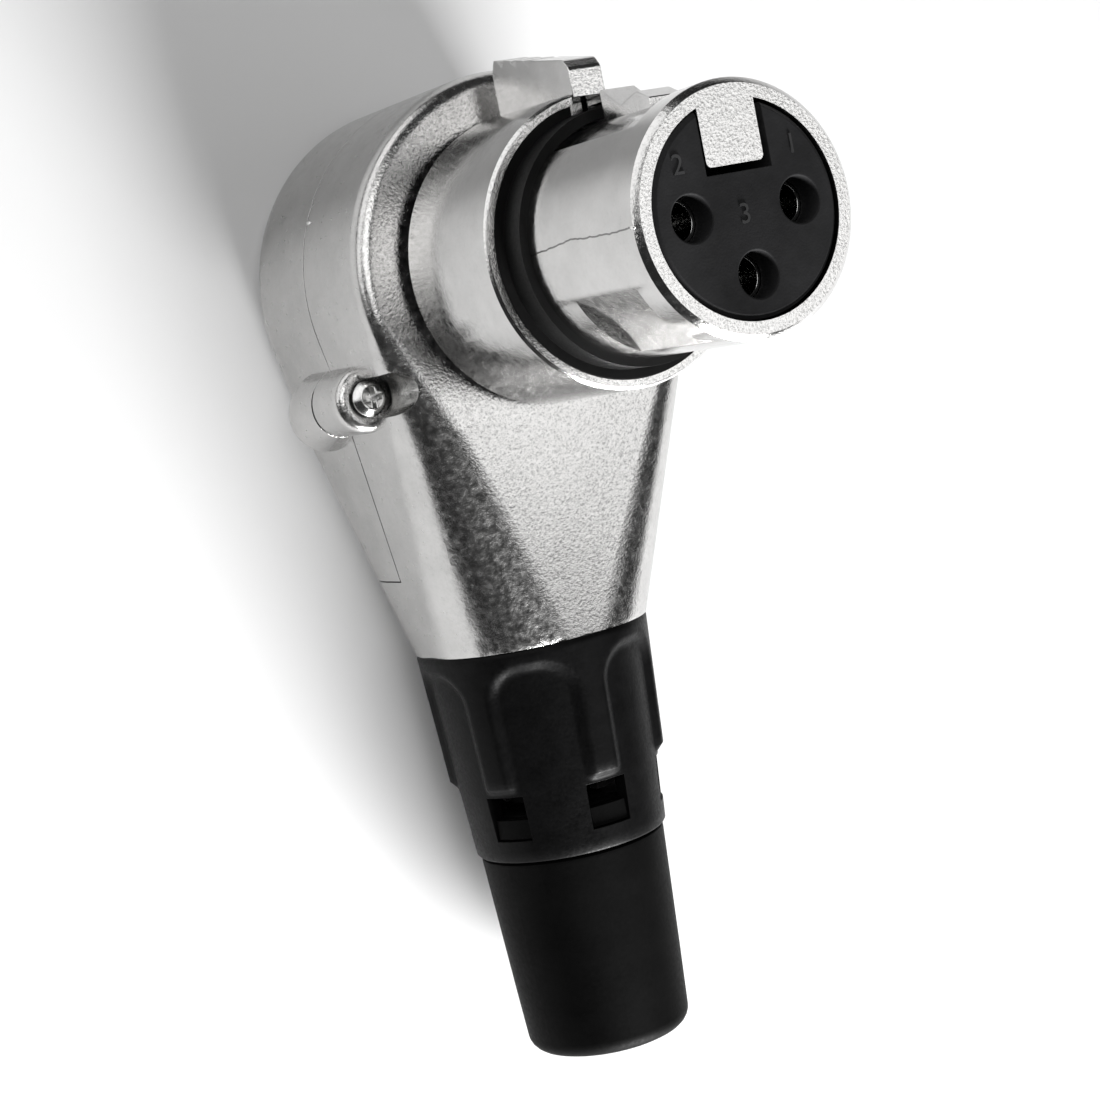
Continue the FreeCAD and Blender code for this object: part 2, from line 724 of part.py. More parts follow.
def make_barrel():
    body = new_body("barrel_shell")
    rebate = "rim_height - rebate_depth"
    mount_end = "can_depth - mount_length"
    undercut_top = "can_depth + undercut_height"
    turned(body, [
        ("rear_bore", mount_end),
        ("mount_radius", mount_end),
        ("mount_radius", "can_depth"),
        ("undercut_radius", "can_depth"),
        ("undercut_radius", undercut_top),
        ("root_radius", undercut_top),
        ("rim_radius", "rim_height"),
        ("rim_bore", "rim_height"),
        ("rim_bore", rebate),
        ("seat_radius", rebate),
        ("seat_radius", "lip_height"),
        ("nose_radius", "lip_height"),
        ("nose_radius", "nose_front"),
        ("nose_bore", "nose_front"),
        ("nose_bore", "flange_seat"),
        ("rear_bore", "flange_seat"),
    ])
    dressed(body, "Chamfer", ring_edge(mm("nose_radius"), mm("nose_front")), "nose_edge")
    dressed(body, "Chamfer", ring_edge(mm("rim_radius"), mm("rim_height")), "rim_edge")

    clip_top = "flange_seat - flange_thickness"
    clip_room = "clip_thickness + 2 * clip_play"
    groove(body, [
        ("rear_bore - clip_play", clip_top),
        ("clip_outer + clip_play", clip_top),
        ("clip_outer + clip_play", "%s - (%s)" % (clip_top, clip_room)),
        ("rear_bore - clip_play", "%s - (%s)" % (clip_top, clip_room)),
    ])

    slot = new_sketch(body, "YZ_Plane")
    rectangle(slot, "latch_floor", "slot_rear", "root_radius + case_wall", "slot_front")
    extruded(body, slot, "2 * slot_half", True, both_ways=True)

    seat = new_sketch(body, "YZ_Plane")
    circle(seat, "pivot_out", "pivot_height", "pivot_radius + seat_play")
    extruded(body, seat, "pin_length + 2 * pivot_play", True, both_ways=True)
    drop = new_sketch(body, "YZ_Plane")
    low = "pivot_height - pivot_radius - seat_play"
    high = "pivot_height + pivot_radius + seat_play"
    rectangle(drop, "latch_floor", low, "pivot_out", high)
    extruded(body, drop, "pin_length + 2 * pivot_play", True, both_ways=True)

    channel = new_sketch(body, "XY_Plane", "channel_end")
    channel_outline(channel)
    extruded(body, channel, "channel_end - rim_height", True)

    flat = new_sketch(body, "XY_Plane", "channel_end", turn=-mm("flat_angle"))
    rectangle(flat, "flat_distance", "-nose_bore", "nose_radius + case_wall", "nose_bore")
    flat_cut = extruded(body, flat, "channel_end - flat_rear", True)
    mirrored(body, flat_cut)

    key = new_sketch(body, "XY_Plane", "nose_front")
    key_top = "nose_bore + (nose_radius - nose_bore) / 4"
    rectangle(key, "-key_half - key_offset", "key_bottom", "key_half - key_offset", key_top)
    extruded(body, key, "key_length", False, reverse=True)

    def key_corner(edge):
        box = edge.BoundBox
        is_upright = box.ZLength > mm("key_length") - 0.1 and box.XLength < 1e-6
        return is_upright and abs(box.YMin - mm("key_bottom")) < 1e-4

    dressed(body, "Fillet", key_corner, "key_round")


def make_barrel_nut():
    body = new_body("barrel_nut")
    top = "can_depth - case_wall - tag_thickness"
    inner = "mount_radius + mount_play"
    turned(body, [
        (inner, "%s - nut_height" % top),
        ("nut_radius", "%s - nut_height" % top),
        ("nut_radius", top),
        (inner, top),
    ])
    sketch = new_sketch(body, "XY_Plane", "%s - nut_height" % top)
    rectangle(sketch, "mount_radius - mount_play", "-nut_notch / 2", "nut_radius + mount_play", "nut_notch / 2")
    notch = extruded(body, sketch, "nut_height / 2", True, reverse=True)
    repeated(body, notch, COUNT_OF_NOTCHES)


def make_ground_tag():
    body = new_body("ground_tag")
    top = "can_depth - case_wall"
    turned(body, [
        ("mount_radius + mount_play", "%s - tag_thickness" % top),
        ("nut_radius", "%s - tag_thickness" % top),
        ("nut_radius", top),
        ("mount_radius + mount_play", top),
    ])
    tail = new_sketch(body, "XY_Plane", top)
    tail_in = "-(nut_radius + tag_thickness + mount_play)"
    tail_out = "-(nut_radius - tag_thickness)"
    rectangle(tail, "-tag_width / 2", tail_in, "tag_width / 2", tail_out)
    extruded(body, tail, "tag_thickness", False, reverse=True)
    leg = new_sketch(body, "XY_Plane", top)
    leg_out = "-(nut_radius + mount_play)"
    rectangle(leg, "-tag_width / 2", tail_in, "tag_width / 2", leg_out)
    extruded(body, leg, "tag_length", False, reverse=True)


def make_shoulder_ring():
    body = new_body("shoulder_ring")
    rear = "rim_height - rebate_depth"
    inner = "seat_radius + ring_play"
    turned(body, [
        (inner, rear),
        ("rim_bore - ring_play", rear),
        ("rim_bore - ring_play", "rim_height"),
        ("lip_radius", "rim_height"),
        ("lip_radius", "lip_height"),
        (inner, "lip_height"),
    ])
    notch = new_sketch(body, "YZ_Plane")
    rectangle(notch, "ring_web", "%s - ring_play" % rear, "rim_bore + ring_play", "lip_height + ring_play")
    extruded(body, notch, "2 * ring_notch", True, both_ways=True)


def make_insert():
    body = new_body("contact_insert")
    flange_rear = "flange_seat - flange_thickness"
    flange = "rear_bore - insert_play"
    front = "nose_bore - insert_play"
    turned(body, [
        ("0", "insert_tail"),
        ("tail_radius", "insert_tail"),
        ("tail_radius", flange_rear),
        (flange, flange_rear),
        (flange, "flange_seat"),
        (front, "flange_seat"),
        (front, "nose_front"),
        ("0", "nose_front"),
    ])
    dressed(body, "Chamfer", ring_edge(mm("nose_bore") - mm("insert_play"), mm("nose_front")), "insert_edge")
    latch_way = new_sketch(body, "YZ_Plane")
    rectangle(latch_way, "latch_floor", "insert_tail - insert_play", "rear_bore", "nose_front")
    extruded(body, latch_way, "2 * latch_notch", True, both_ways=True)

    pivot_way = new_sketch(body, "YZ_Plane")
    low = "pivot_height - hub_radius - insert_play"
    high = "pivot_height + hub_radius + insert_play"
    rectangle(pivot_way, "latch_floor", low, "rear_bore", high)
    extruded(body, pivot_way, "pin_length + 4 * pivot_play", True, both_ways=True)

    key_way = new_sketch(body, "XY_Plane", "nose_front")
    rectangle(key_way, "-notch_half", "notch_bottom", "notch_half", "nose_bore")
    extruded(body, key_way, "key_length + notch_play", True)

    for depth, radius in (("0", "entry_radius"), ("entry_depth", "contact_radius + contact_play")):
        holes = new_sketch(body, "XY_Plane", "nose_front - " + depth)
        for angle in SOCKET_ANGLES.values():
            across = "pin_circle * %d" % round(math.cos(math.radians(angle)))
            up = "pin_circle * %d" % round(math.sin(math.radians(angle)))
            circle(holes, "0" if across.endswith("* 0") else across, "0" if up.endswith("* 0") else up, radius)
        length = "entry_depth + contact_play" if depth == "0" else "nose_front - insert_tail"
        extruded(body, holes, length, True)

    def mouth(edge):
        curve = edge.Curve
        is_round = isinstance(curve, Part.Circle) and abs(curve.Radius - mm("entry_radius")) < 1e-4
        return is_round and abs(curve.Center.z - mm("nose_front")) < 1e-4

    dressed(body, "Chamfer", mouth, "entry_edge")


def make_circlip():
    body = new_body("insert_circlip")
    top = "flange_seat - flange_thickness - clip_play"
    turned(body, [
        ("clip_inner", "%s - clip_thickness" % top),
        ("clip_outer", "%s - clip_thickness" % top),
        ("clip_outer", top),
        ("clip_inner", top),
    ])
    gap = new_sketch(body, "YZ_Plane")
    rectangle(gap, "0", "insert_tail", "clip_outer + clip_play", "flange_seat")
    extruded(body, gap, "2 * clip_gap", True, both_ways=True)


def make_contact(name, angle):
    """A slotted female contact with a stop collar and an open solder cup."""
    body = new_body(name)
    front = "nose_front - entry_depth - contact_play"
    bore_floor = "nose_front - contact_depth"
    stop_rear = "insert_tail - stop_thickness"
    turned(body, [
        ("0", "cup_end + cup_depth"),
        ("cup_bore", "cup_end + cup_depth"),
        ("cup_bore", "cup_end"),
        ("cup_radius", "cup_end"),
        ("cup_radius", stop_rear),
        ("stop_radius", stop_rear),
        ("stop_radius", "insert_tail"),
        ("contact_radius", "insert_tail"),
        ("contact_radius", front),
        ("contact_bore", front),
        ("contact_bore", bore_floor),
        ("0", bore_floor),
    ])
    cut = new_sketch(body, "XZ_Plane")
    side = "contact_slot / 2"
    rectangle(cut, "-(%s)" % side, "%s - slot_depth" % front, side, front + " + contact_play")
    extruded(body, cut, "4 * contact_radius", True, both_ways=True)
    cup = new_sketch(body, "YZ_Plane")
    top = "cup_end + cup_window"
    rectangle(cup, "-stop_radius", "cup_end - contact_play", "-contact_slot", top)
    extruded(body, cup, "4 * contact_radius", True, both_ways=True)
    for axis, part in (("x", math.cos), ("y", math.sin)):
        share = round(part(math.radians(angle)))
        body.setExpression("Placement.Base." + axis, linked("pin_circle * %d" % share))


# Latch


def make_latch():
    body = new_body("latch_lever")
    plate = new_sketch(body, "YZ_Plane")
    outline(plate, [
        ("arm_bottom", "pivot_height"),
        ("arm_bottom", "tooth_front"),
        ("front_out", "tooth_front"),
        ("crest_out", "tooth_crest"),
        ("dip_out", "tooth_dip"),
        ("tooth_out", "tooth_rear + tooth_land"),
        ("tooth_out", "tooth_rear"),
        ("arm_top", "tooth_rear"),
        ("arm_top", "web_front"),
        ("tab_under", "web_front"),
        ("tab_under", "tab_front"),
        ("tab_nose_out", "tab_front"),
        ("tab_bend_out", "tab_bend"),
        ("tab_top_out", "tab_top"),
        ("tab_rear_out", "tab_rear"),
        ("pivot_out + hub_radius / 2", "tab_rear"),
    ])
    extruded(body, plate, "latch_width", False, both_ways=True)
    hub = new_sketch(body, "YZ_Plane")
    circle(hub, "pivot_out", "pivot_height", "hub_radius")
    extruded(body, hub, "latch_width", False, both_ways=True)
    bore = new_sketch(body, "YZ_Plane")
    circle(bore, "pivot_out", "pivot_height", "pivot_radius + pivot_play")
    extruded(body, bore, "2 * latch_width", True, both_ways=True)

    def bend(edge):
        box = edge.BoundBox
        across_lever = box.XLength > mm("latch_width") - 0.01
        at_bend = abs(box.YMin - mm("tab_bend_out")) < 1e-4 and abs(box.ZMin - mm("tab_bend")) < 1e-4
        at_nose = abs(box.YMin - mm("tab_nose_out")) < 1e-4 and abs(box.ZMin - mm("tab_front")) < 1e-4
        return across_lever and (at_bend or at_nose)

    dressed(body, "Fillet", bend, "tab_round")

    fall = "(tab_top_out - tab_bend_out) / (tab_bend - tab_top)"
    for index in range(COUNT_OF_SERRATIONS):
        middle = "(serration_start + %d * serration_pitch)" % index
        surface = "(tab_top_out - (%s - tab_top) * %s)" % (middle, fall)
        cut = new_sketch(body, "YZ_Plane")
        outline(cut, [
            ("%s - serration_depth" % surface, middle),
            ("%s + serration_depth" % surface, "%s + serration_depth" % middle),
            ("%s + serration_depth" % surface, "%s - 2 * serration_depth" % middle),
        ])
        extruded(body, cut, "2 * latch_width", True, both_ways=True)


def make_latch_pin():
    body = new_body("latch_pin")
    sketch = new_sketch(body, "YZ_Plane")
    circle(sketch, "pivot_out", "pivot_height", "pivot_radius")
    extruded(body, sketch, "pin_length", False, both_ways=True)


def make_latch_spring():
    """A folded leaf: one leg on the insert, the other up to the underside of the lever."""
    body = new_body("latch_spring")
    sketch = new_sketch(body, "YZ_Plane")
    foot = "latch_floor"
    top = "arm_bottom - seat_play"
    outline(sketch, [
        (foot, "leaf_rear"),
        (foot, "leaf_front"),
        (foot + " + leaf_thickness", "leaf_front + 2 * leaf_thickness"),
        (foot + " + 3 * leaf_thickness", "leaf_front + 2 * leaf_thickness"),
        (foot + " + 4 * leaf_thickness", "leaf_front"),
        (top, "leaf_tip"),
        (top + " - leaf_thickness", "leaf_tip - leaf_thickness"),
        (foot + " + 3 * leaf_thickness", "leaf_front - leaf_thickness"),
        (foot + " + 2 * leaf_thickness", "leaf_front + leaf_thickness"),
        (foot + " + leaf_thickness", "leaf_front - leaf_thickness"),
        (foot + " + leaf_thickness", "leaf_rear"),
    ])
    extruded(body, sketch, "leaf_width", False, both_ways=True)


def make_liner():
    """A shallow moulded cup that keeps the solder cups off the metal cover."""
    body = new_body("insulating_liner")
    floor = "case_wall + liner_play"
    turned(body, [
        ("0", floor),
        ("liner_radius - liner_corner", floor),
        ("liner_radius", floor + " + liner_corner"),
        ("liner_radius", "liner_height"),
        ("liner_radius - liner_wall", "liner_height"),
        ("liner_radius - liner_wall", floor + " + liner_corner + liner_wall / 2"),
        ("liner_radius - liner_corner - liner_wall / 2", floor + " + liner_wall"),
        ("0", floor + " + liner_wall"),
    ])
    window = new_sketch(body, "XZ_Plane")
    rectangle(window, "-liner_window", floor + " + liner_corner", "liner_window", "liner_height + liner_wall")
    extruded(body, window, "2 * liner_radius", True, reverse=True)


# Cable gland


def make_chuck():
    body = new_body("cable_chuck")
    shoulder = "neck_reach + spigot_length + chuck_play"
    turned(body, [
        ("chuck_bore", "chuck_start"),
        ("neck_bore - chuck_play", "chuck_start"),
        ("neck_bore - chuck_play", shoulder),
        ("chuck_shoulder", shoulder),
        ("chuck_shoulder", shoulder + " + shoulder_length"),
        ("neck_bore - chuck_play", shoulder + " + shoulder_length"),
        ("chuck_tip", "chuck_end"),
        ("chuck_bore", "chuck_end"),
    ])
    slot = new_sketch(body, "YZ_Plane")
    rectangle(slot, "0", "jaw_start", "chuck_shoulder + chuck_play", "chuck_end + chuck_play")
    cut = extruded(body, slot, "jaw_slot", True, both_ways=True)
    repeated(body, cut, COUNT_OF_JAWS)
    along_cable(body)


def make_collar():
    """The gland collar: a cone with ribs between wide flutes, and a window below each rib."""
    body = new_body("gland_collar")
    step = "neck_reach + thread_depth"
    thread = "spigot_radius + thread_play"
    low_band = "rib_radius - rib_height"
    turned(body, [
        (thread, "neck_reach"),
        ("collar_top", "neck_reach"),
        ("rib_radius", "rib_end"),
        (low_band, "rib_end + rib_slant"),
        ("collar_end_radius", "collar_end"),
        ("collar_bore", "collar_end"),
        ("collar_bore", step),
        (thread, step),
    ])
    flute_top = "neck_reach + band_height"
    slope = "(collar_top - rib_radius) / (rib_end - neck_reach)"
    flute = groove(body, [
        ("collar_top - rib_height - band_height * %s" % slope, flute_top),
        ("collar_top + rib_height", flute_top),
        ("collar_top + rib_height", "rib_end + rib_slant"),
        (low_band, "rib_end + rib_slant"),
    ], "flute_angle")
    repeated(body, flute, COUNT_OF_RIBS)

    flute_height = mm("neck_reach") + mm("band_height")

    def flute_corner(edge):
        box = edge.BoundBox
        return box.ZLength < 0.1 and abs(box.ZMin - flute_height) < 0.1 and edge.Length < 1.5 * mm("rib_height")

    dressed(body, "Fillet", flute_corner, "flute_corner")

    window = new_sketch(body, "XZ_Plane")
    rectangle(window, "-window_half", "window_start", "window_half", "window_end")
    cut = extruded(body, window, "2 * collar_top", True, both_ways=True)
    repeated(body, cut, COUNT_OF_RIBS // 2, THROUGH_TURN)
    along_cable(body, mm("collar_turn"))


def make_boot():
    """The soft boot: a head held in the collar by lugs, then a tapered sleeve."""
    body = new_body("cable_boot")
    head = "collar_bore - boot_play"
    sleeve = "collar_end + boot_gap"
    turned(body, [
        ("0", "boot_start"),
        (head, "boot_start"),
        (head, sleeve),
        ("boot_top", sleeve),
        ("boot_end_radius", "boot_end"),
        ("0", "boot_end"),
    ])
    dressed(body, "Fillet", ring_edge(mm("boot_end_radius"), mm("boot_end")), "boot_round")
    lug_end = "window_end - boot_gap"
    bar = new_sketch(body, "XZ_Plane")
    rectangle(bar, "-boot_lug_half", lug_end + " - boot_lug_length", "boot_lug_half", lug_end)
    pad = extruded(body, bar, "2 * boot_lug_out", False, both_ways=True)
    repeated(body, pad, COUNT_OF_RIBS // 2, THROUGH_TURN)
    hole = new_sketch(body, "XY_Plane", "boot_end")
    circle(hole, "0", "0", "boot_bore")
    extruded(body, hole, "boot_end - window_start", True)
    along_cable(body, mm("collar_turn"))


make_case()
make_screw("cover_screw_left", -1)
make_screw("cover_screw_right", 1)
make_barrel()
make_barrel_nut()
make_ground_tag()
make_shoulder_ring()
make_insert()
make_circlip()
for contact_name, contact_angle in SOCKET_ANGLES.items():
    make_contact(contact_name, contact_angle)
make_latch()
make_latch_pin()
make_latch_spring()
make_liner()
make_chuck()
make_collar()
make_boot()
doc.recompute()

for item in doc.Objects:
    if "Invalid" in item.State or "Error" in item.State:
        raise RuntimeError("%s failed: %s" % (item.Name, item.State))

os.makedirs("parts", exist_ok=True)
pieces = [item for item in doc.Objects if item.TypeId in ("PartDesign::Body", "Part::Feature")]
for piece in pieces:
    if piece.Shape.isNull() or not piece.Shape.isValid():
        raise RuntimeError(piece.Label + " has no valid shape")
    piece.Shape.exportStep("parts/%s.step" % piece.Label)
    print(piece.Label, len(piece.Shape.Solids), "solid", round(piece.Shape.Volume, 1), "mm3")
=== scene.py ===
# %% [markdown]
# # A right angle audio connector
#
# The real thing is a small die-cast elbow: a round can that tapers into a cable neck, a barrel with
# three sockets that stands on its front, and a black gland that grips the cable. This lesson loads
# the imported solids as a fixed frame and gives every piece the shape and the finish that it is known
# by. Blender works in metres here, in the same frame as the solids. The numbers are written in
# millimetres and multiplied by MM where they go into the scene.

import math

import bmesh
import bpy
import numpy as np
from mathutils import Matrix, Vector


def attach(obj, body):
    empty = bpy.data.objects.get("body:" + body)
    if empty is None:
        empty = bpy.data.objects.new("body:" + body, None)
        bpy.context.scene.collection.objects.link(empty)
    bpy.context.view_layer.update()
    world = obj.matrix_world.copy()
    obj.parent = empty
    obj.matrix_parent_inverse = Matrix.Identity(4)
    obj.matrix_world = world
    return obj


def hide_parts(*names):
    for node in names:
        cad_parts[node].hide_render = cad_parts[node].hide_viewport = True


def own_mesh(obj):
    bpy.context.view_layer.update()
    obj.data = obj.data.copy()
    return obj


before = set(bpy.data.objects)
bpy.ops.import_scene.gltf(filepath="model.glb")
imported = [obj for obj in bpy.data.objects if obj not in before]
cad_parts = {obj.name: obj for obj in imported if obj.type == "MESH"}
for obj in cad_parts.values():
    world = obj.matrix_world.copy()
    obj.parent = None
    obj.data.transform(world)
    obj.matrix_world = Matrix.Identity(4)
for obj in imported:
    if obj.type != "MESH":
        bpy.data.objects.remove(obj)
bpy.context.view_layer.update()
MM = 0.001

# %% [markdown]
# ## The camera
#
# The photograph was taken from above and a little to the left, with the connector lying on its
# back. The place and the lens were worked out from the circle of the three sockets and the round
# face, whose sizes are those of the standard.

# %% Place the camera
IMAGE_SIDE = 1100.0
FOCAL_PIXELS = 2334.0
SENSOR = 36.0
CAMERA_PLACE = Vector((-80.97, -3.49, 163.18)) * MM
CAMERA_AIM = Vector((0.4756, -0.1013, -0.8738)).normalized()
CAMERA_UP = Vector((0.2189, 0.9757, 0.0060))


def place_camera():
    """Sets the camera: its -Z axis is the aim, its X axis is aim x up, and Y closes the set."""
    data = bpy.data.cameras.new("camera")
    data.sensor_width = SENSOR
    data.lens = FOCAL_PIXELS / IMAGE_SIDE * SENSOR
    data.clip_start, data.clip_end = 0.005, 10.0
    right = CAMERA_AIM.cross(CAMERA_UP).normalized()
    up = right.cross(CAMERA_AIM)
    turn = Matrix((right, up, -CAMERA_AIM)).transposed().to_4x4()
    camera = bpy.data.objects.new("camera", data)
    camera.matrix_world = Matrix.Translation(CAMERA_PLACE) @ turn
    bpy.context.scene.collection.objects.link(camera)
    bpy.context.scene.camera = camera
    return camera


camera = place_camera()
print("lens in mm", round(camera.data.lens, 2))

# %% [markdown]
# ## From the solids to finished edges
#
# A die casting or a moulding has no truly sharp edge: a small round catches the light along every
# corner, and without it metal looks like paper. The solids come as loose triangles, so a copy has
# its doubles merged and its flat faces joined, and then a narrow bevel rounds each corner that is
# sharper than a limit. The copy stands for the solid, which stays hidden underneath.

# %% Helpers that finish a mesh
DOUBLES_APART = 1e-7
FLAT_TURN, CORNER_TURN, SHARP_TURN = 0.6, 28.0, 60.0


def shade(mesh, sharp):
    """Smooth shading, broken only at edges where the faces turn by more than sharp degrees."""
    mesh.shade_smooth()
    mesh.set_sharp_from_angle(angle=math.radians(sharp))


def add_piece(name, mesh, material, body="connector"):
    """Puts a mesh into the scene with its finish and the body it rides on."""
    piece = bpy.data.objects.new(name, mesh)
    bpy.context.scene.collection.objects.link(piece)
    mesh.materials.clear()
    mesh.materials.append(material)
    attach(piece, body)
    return piece


def merged_copy(node):
    """A node's mesh with its doubles merged and its flat faces joined."""
    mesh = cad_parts[node].data.copy()
    work = bmesh.new()
    work.from_mesh(mesh)
    bmesh.ops.remove_doubles(work, verts=work.verts, dist=DOUBLES_APART)
    limit = math.radians(FLAT_TURN)
    bmesh.ops.dissolve_limit(work, angle_limit=limit, verts=work.verts, edges=work.edges)
    work.to_mesh(mesh)
    work.free()
    return mesh


def round_edges(piece, width, corner=CORNER_TURN, segments=2):
    """A bevel of that width in mm on each edge that turns by more than corner degrees."""
    bevel = piece.modifiers.new("rounded edges", "BEVEL")
    bevel.width = width * MM
    bevel.segments = segments
    bevel.limit_method = "ANGLE"
    bevel.angle_limit = math.radians(corner)
    bevel.harden_normals = False
    normals = piece.modifiers.new("flat faces stay flat", "WEIGHTED_NORMAL")
    normals.keep_sharp = True


def dressed(node, material, width, body="connector", segments=2):
    """A finished copy of a node with rounded edges, which stands for the node."""
    mesh = merged_copy(node)
    shade(mesh, SHARP_TURN)
    piece = add_piece(node + "_finished", mesh, material, body)
    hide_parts(node)
    round_edges(piece, width, segments=segments)
    print(node, "faces", len(mesh.polygons), "edge round in mm", width)
    return piece


print("corners that turn by more than", CORNER_TURN, "degrees are rounded")

# %% [markdown]
# ## Closed meshes on a grid
#
# New pieces are worked out as a grid of points, row by row. The squares between the points follow
# from the grid's size alone, so one helper serves a skin, a ridge and a ball. Faces have to look
# outwards, and Blender can find that out by itself for a closed form.

# %% Squares of a grid, and a closed mesh
def grid_squares(rows, columns, joined=False):
    """Squares of a grid that closes round its columns, and round its rows too where joined.

    Square (i, j) has the corners (i, j), (i, j + 1), (i + 1, j + 1) and (i + 1, j).
    """
    i, j = np.meshgrid(np.arange(rows if joined else rows - 1), np.arange(columns), indexing="ij")
    below, beside = (i + 1) % rows, (j + 1) % columns
    return np.stack((i * columns + j, i * columns + beside,
                     below * columns + beside, below * columns + j), -1)


def closed_mesh(name, points, faces):
    """A mesh from points in mm and lists of their numbers, with every face turned outwards."""
    mesh = bpy.data.meshes.new(name)
    mesh.from_pydata((points * MM).tolist(), [], faces)
    work = bmesh.new()
    work.from_mesh(mesh)
    bmesh.ops.recalc_face_normals(work, faces=work.faces)
    work.to_mesh(mesh)
    work.free()
    print(name, "faces", len(mesh.polygons))
    return mesh


print("squares in a grid of 3 rows and 4 columns", grid_squares(3, 4).reshape(-1, 4).shape[0])

# %% [markdown]
# ## Skins round the cable
#
# The gland collar and the boot are moulded round the cable's axis. They could be lathed, but a
# lathe knows nothing of ribs and windows. So each is one closed skin on a grid: the rows run down
# the outside and back up the bore, the columns run round the cable, and the radius is a function of
# both. Where a window goes, the grid's squares are left out and the wall between the two skins is
# closed.

# %% A closed skin whose radius changes with angle and length
NECK_HEIGHT = 8.94


def wall_squares(gone, rows, columns):
    """Squares that close the wall of each opening.

    gone is true for the outer squares that are left out. Wherever a square that stays meets one
    that is gone, the edge between them is joined to the same edge of the inner skin, whose row
    number is counted from the other end.
    """
    def outer(row, column):
        return row * columns + column % columns

    def inner(row, column):
        return outer(2 * rows - 1 - row, column)

    none = np.zeros((1, columns), bool)
    padded = np.vstack((none, gone, none))
    row, column = np.nonzero(padded[1:] != padded[:-1])
    across = np.stack((outer(row, column), outer(row, column + 1),
                       inner(row, column + 1), inner(row, column)), -1)
    row, column = np.nonzero(gone != np.roll(gone, 1, 1))
    along = np.stack((outer(row, column), outer(row + 1, column),
                      inner(row + 1, column), inner(row, column)), -1)
    return np.vstack((across, along))


def skin_mesh(name, angles, distances, radii, gone=None):
    """A closed skin round the cable.

    Point (i, j) is at distance d_i from the barrel's axis and at radius r_ij from the cable's axis,
    at angle a_j from straight up towards +X: (r sin a, -d, neck + r cos a). The last row joins the
    first, and the last column joins the first.
    """
    rows, columns = radii.shape
    turn = np.radians(angles)[None, :]
    points = np.stack((radii * np.sin(turn),
                       np.repeat(-distances[:, None], columns, 1),
                       NECK_HEIGHT + radii * np.cos(turn)), -1).reshape(-1, 3)
    faces = grid_squares(rows, columns, joined=True)
    if gone is not None:
        kept = np.ones((rows, columns), bool)
        half = rows // 2
        kept[:half - 1] = ~gone
        kept[half:rows - 1] = ~gone[::-1]
        faces = np.vstack((faces[kept], wall_squares(gone, half, columns)))
    used, faces = np.unique(faces, return_inverse=True)
    return closed_mesh(name, points[used], faces.reshape(-1, 4).tolist())


def smooth(t):
    """Goes from 0 to 1 while t goes from 0 to 1, flat at both ends: t t (3 - 2 t)."""
    t = np.clip(t, 0.0, 1.0)
    return t * t * (3.0 - 2.0 * t)


print("the cable's axis lies", NECK_HEIGHT, "mm above the back")

# %% [markdown]
# ## Finishes
#
# Every finish is built from nodes on Object coordinates, so it sticks to the piece. The numbers
# are at the real scale: grain of a blasted casting is a few tenths of a millimetre.

# %% A small kit for node materials
MIX_SHARE, MIX_ONE, MIX_OTHER, MIX_COLOUR = 0, 6, 7, 2


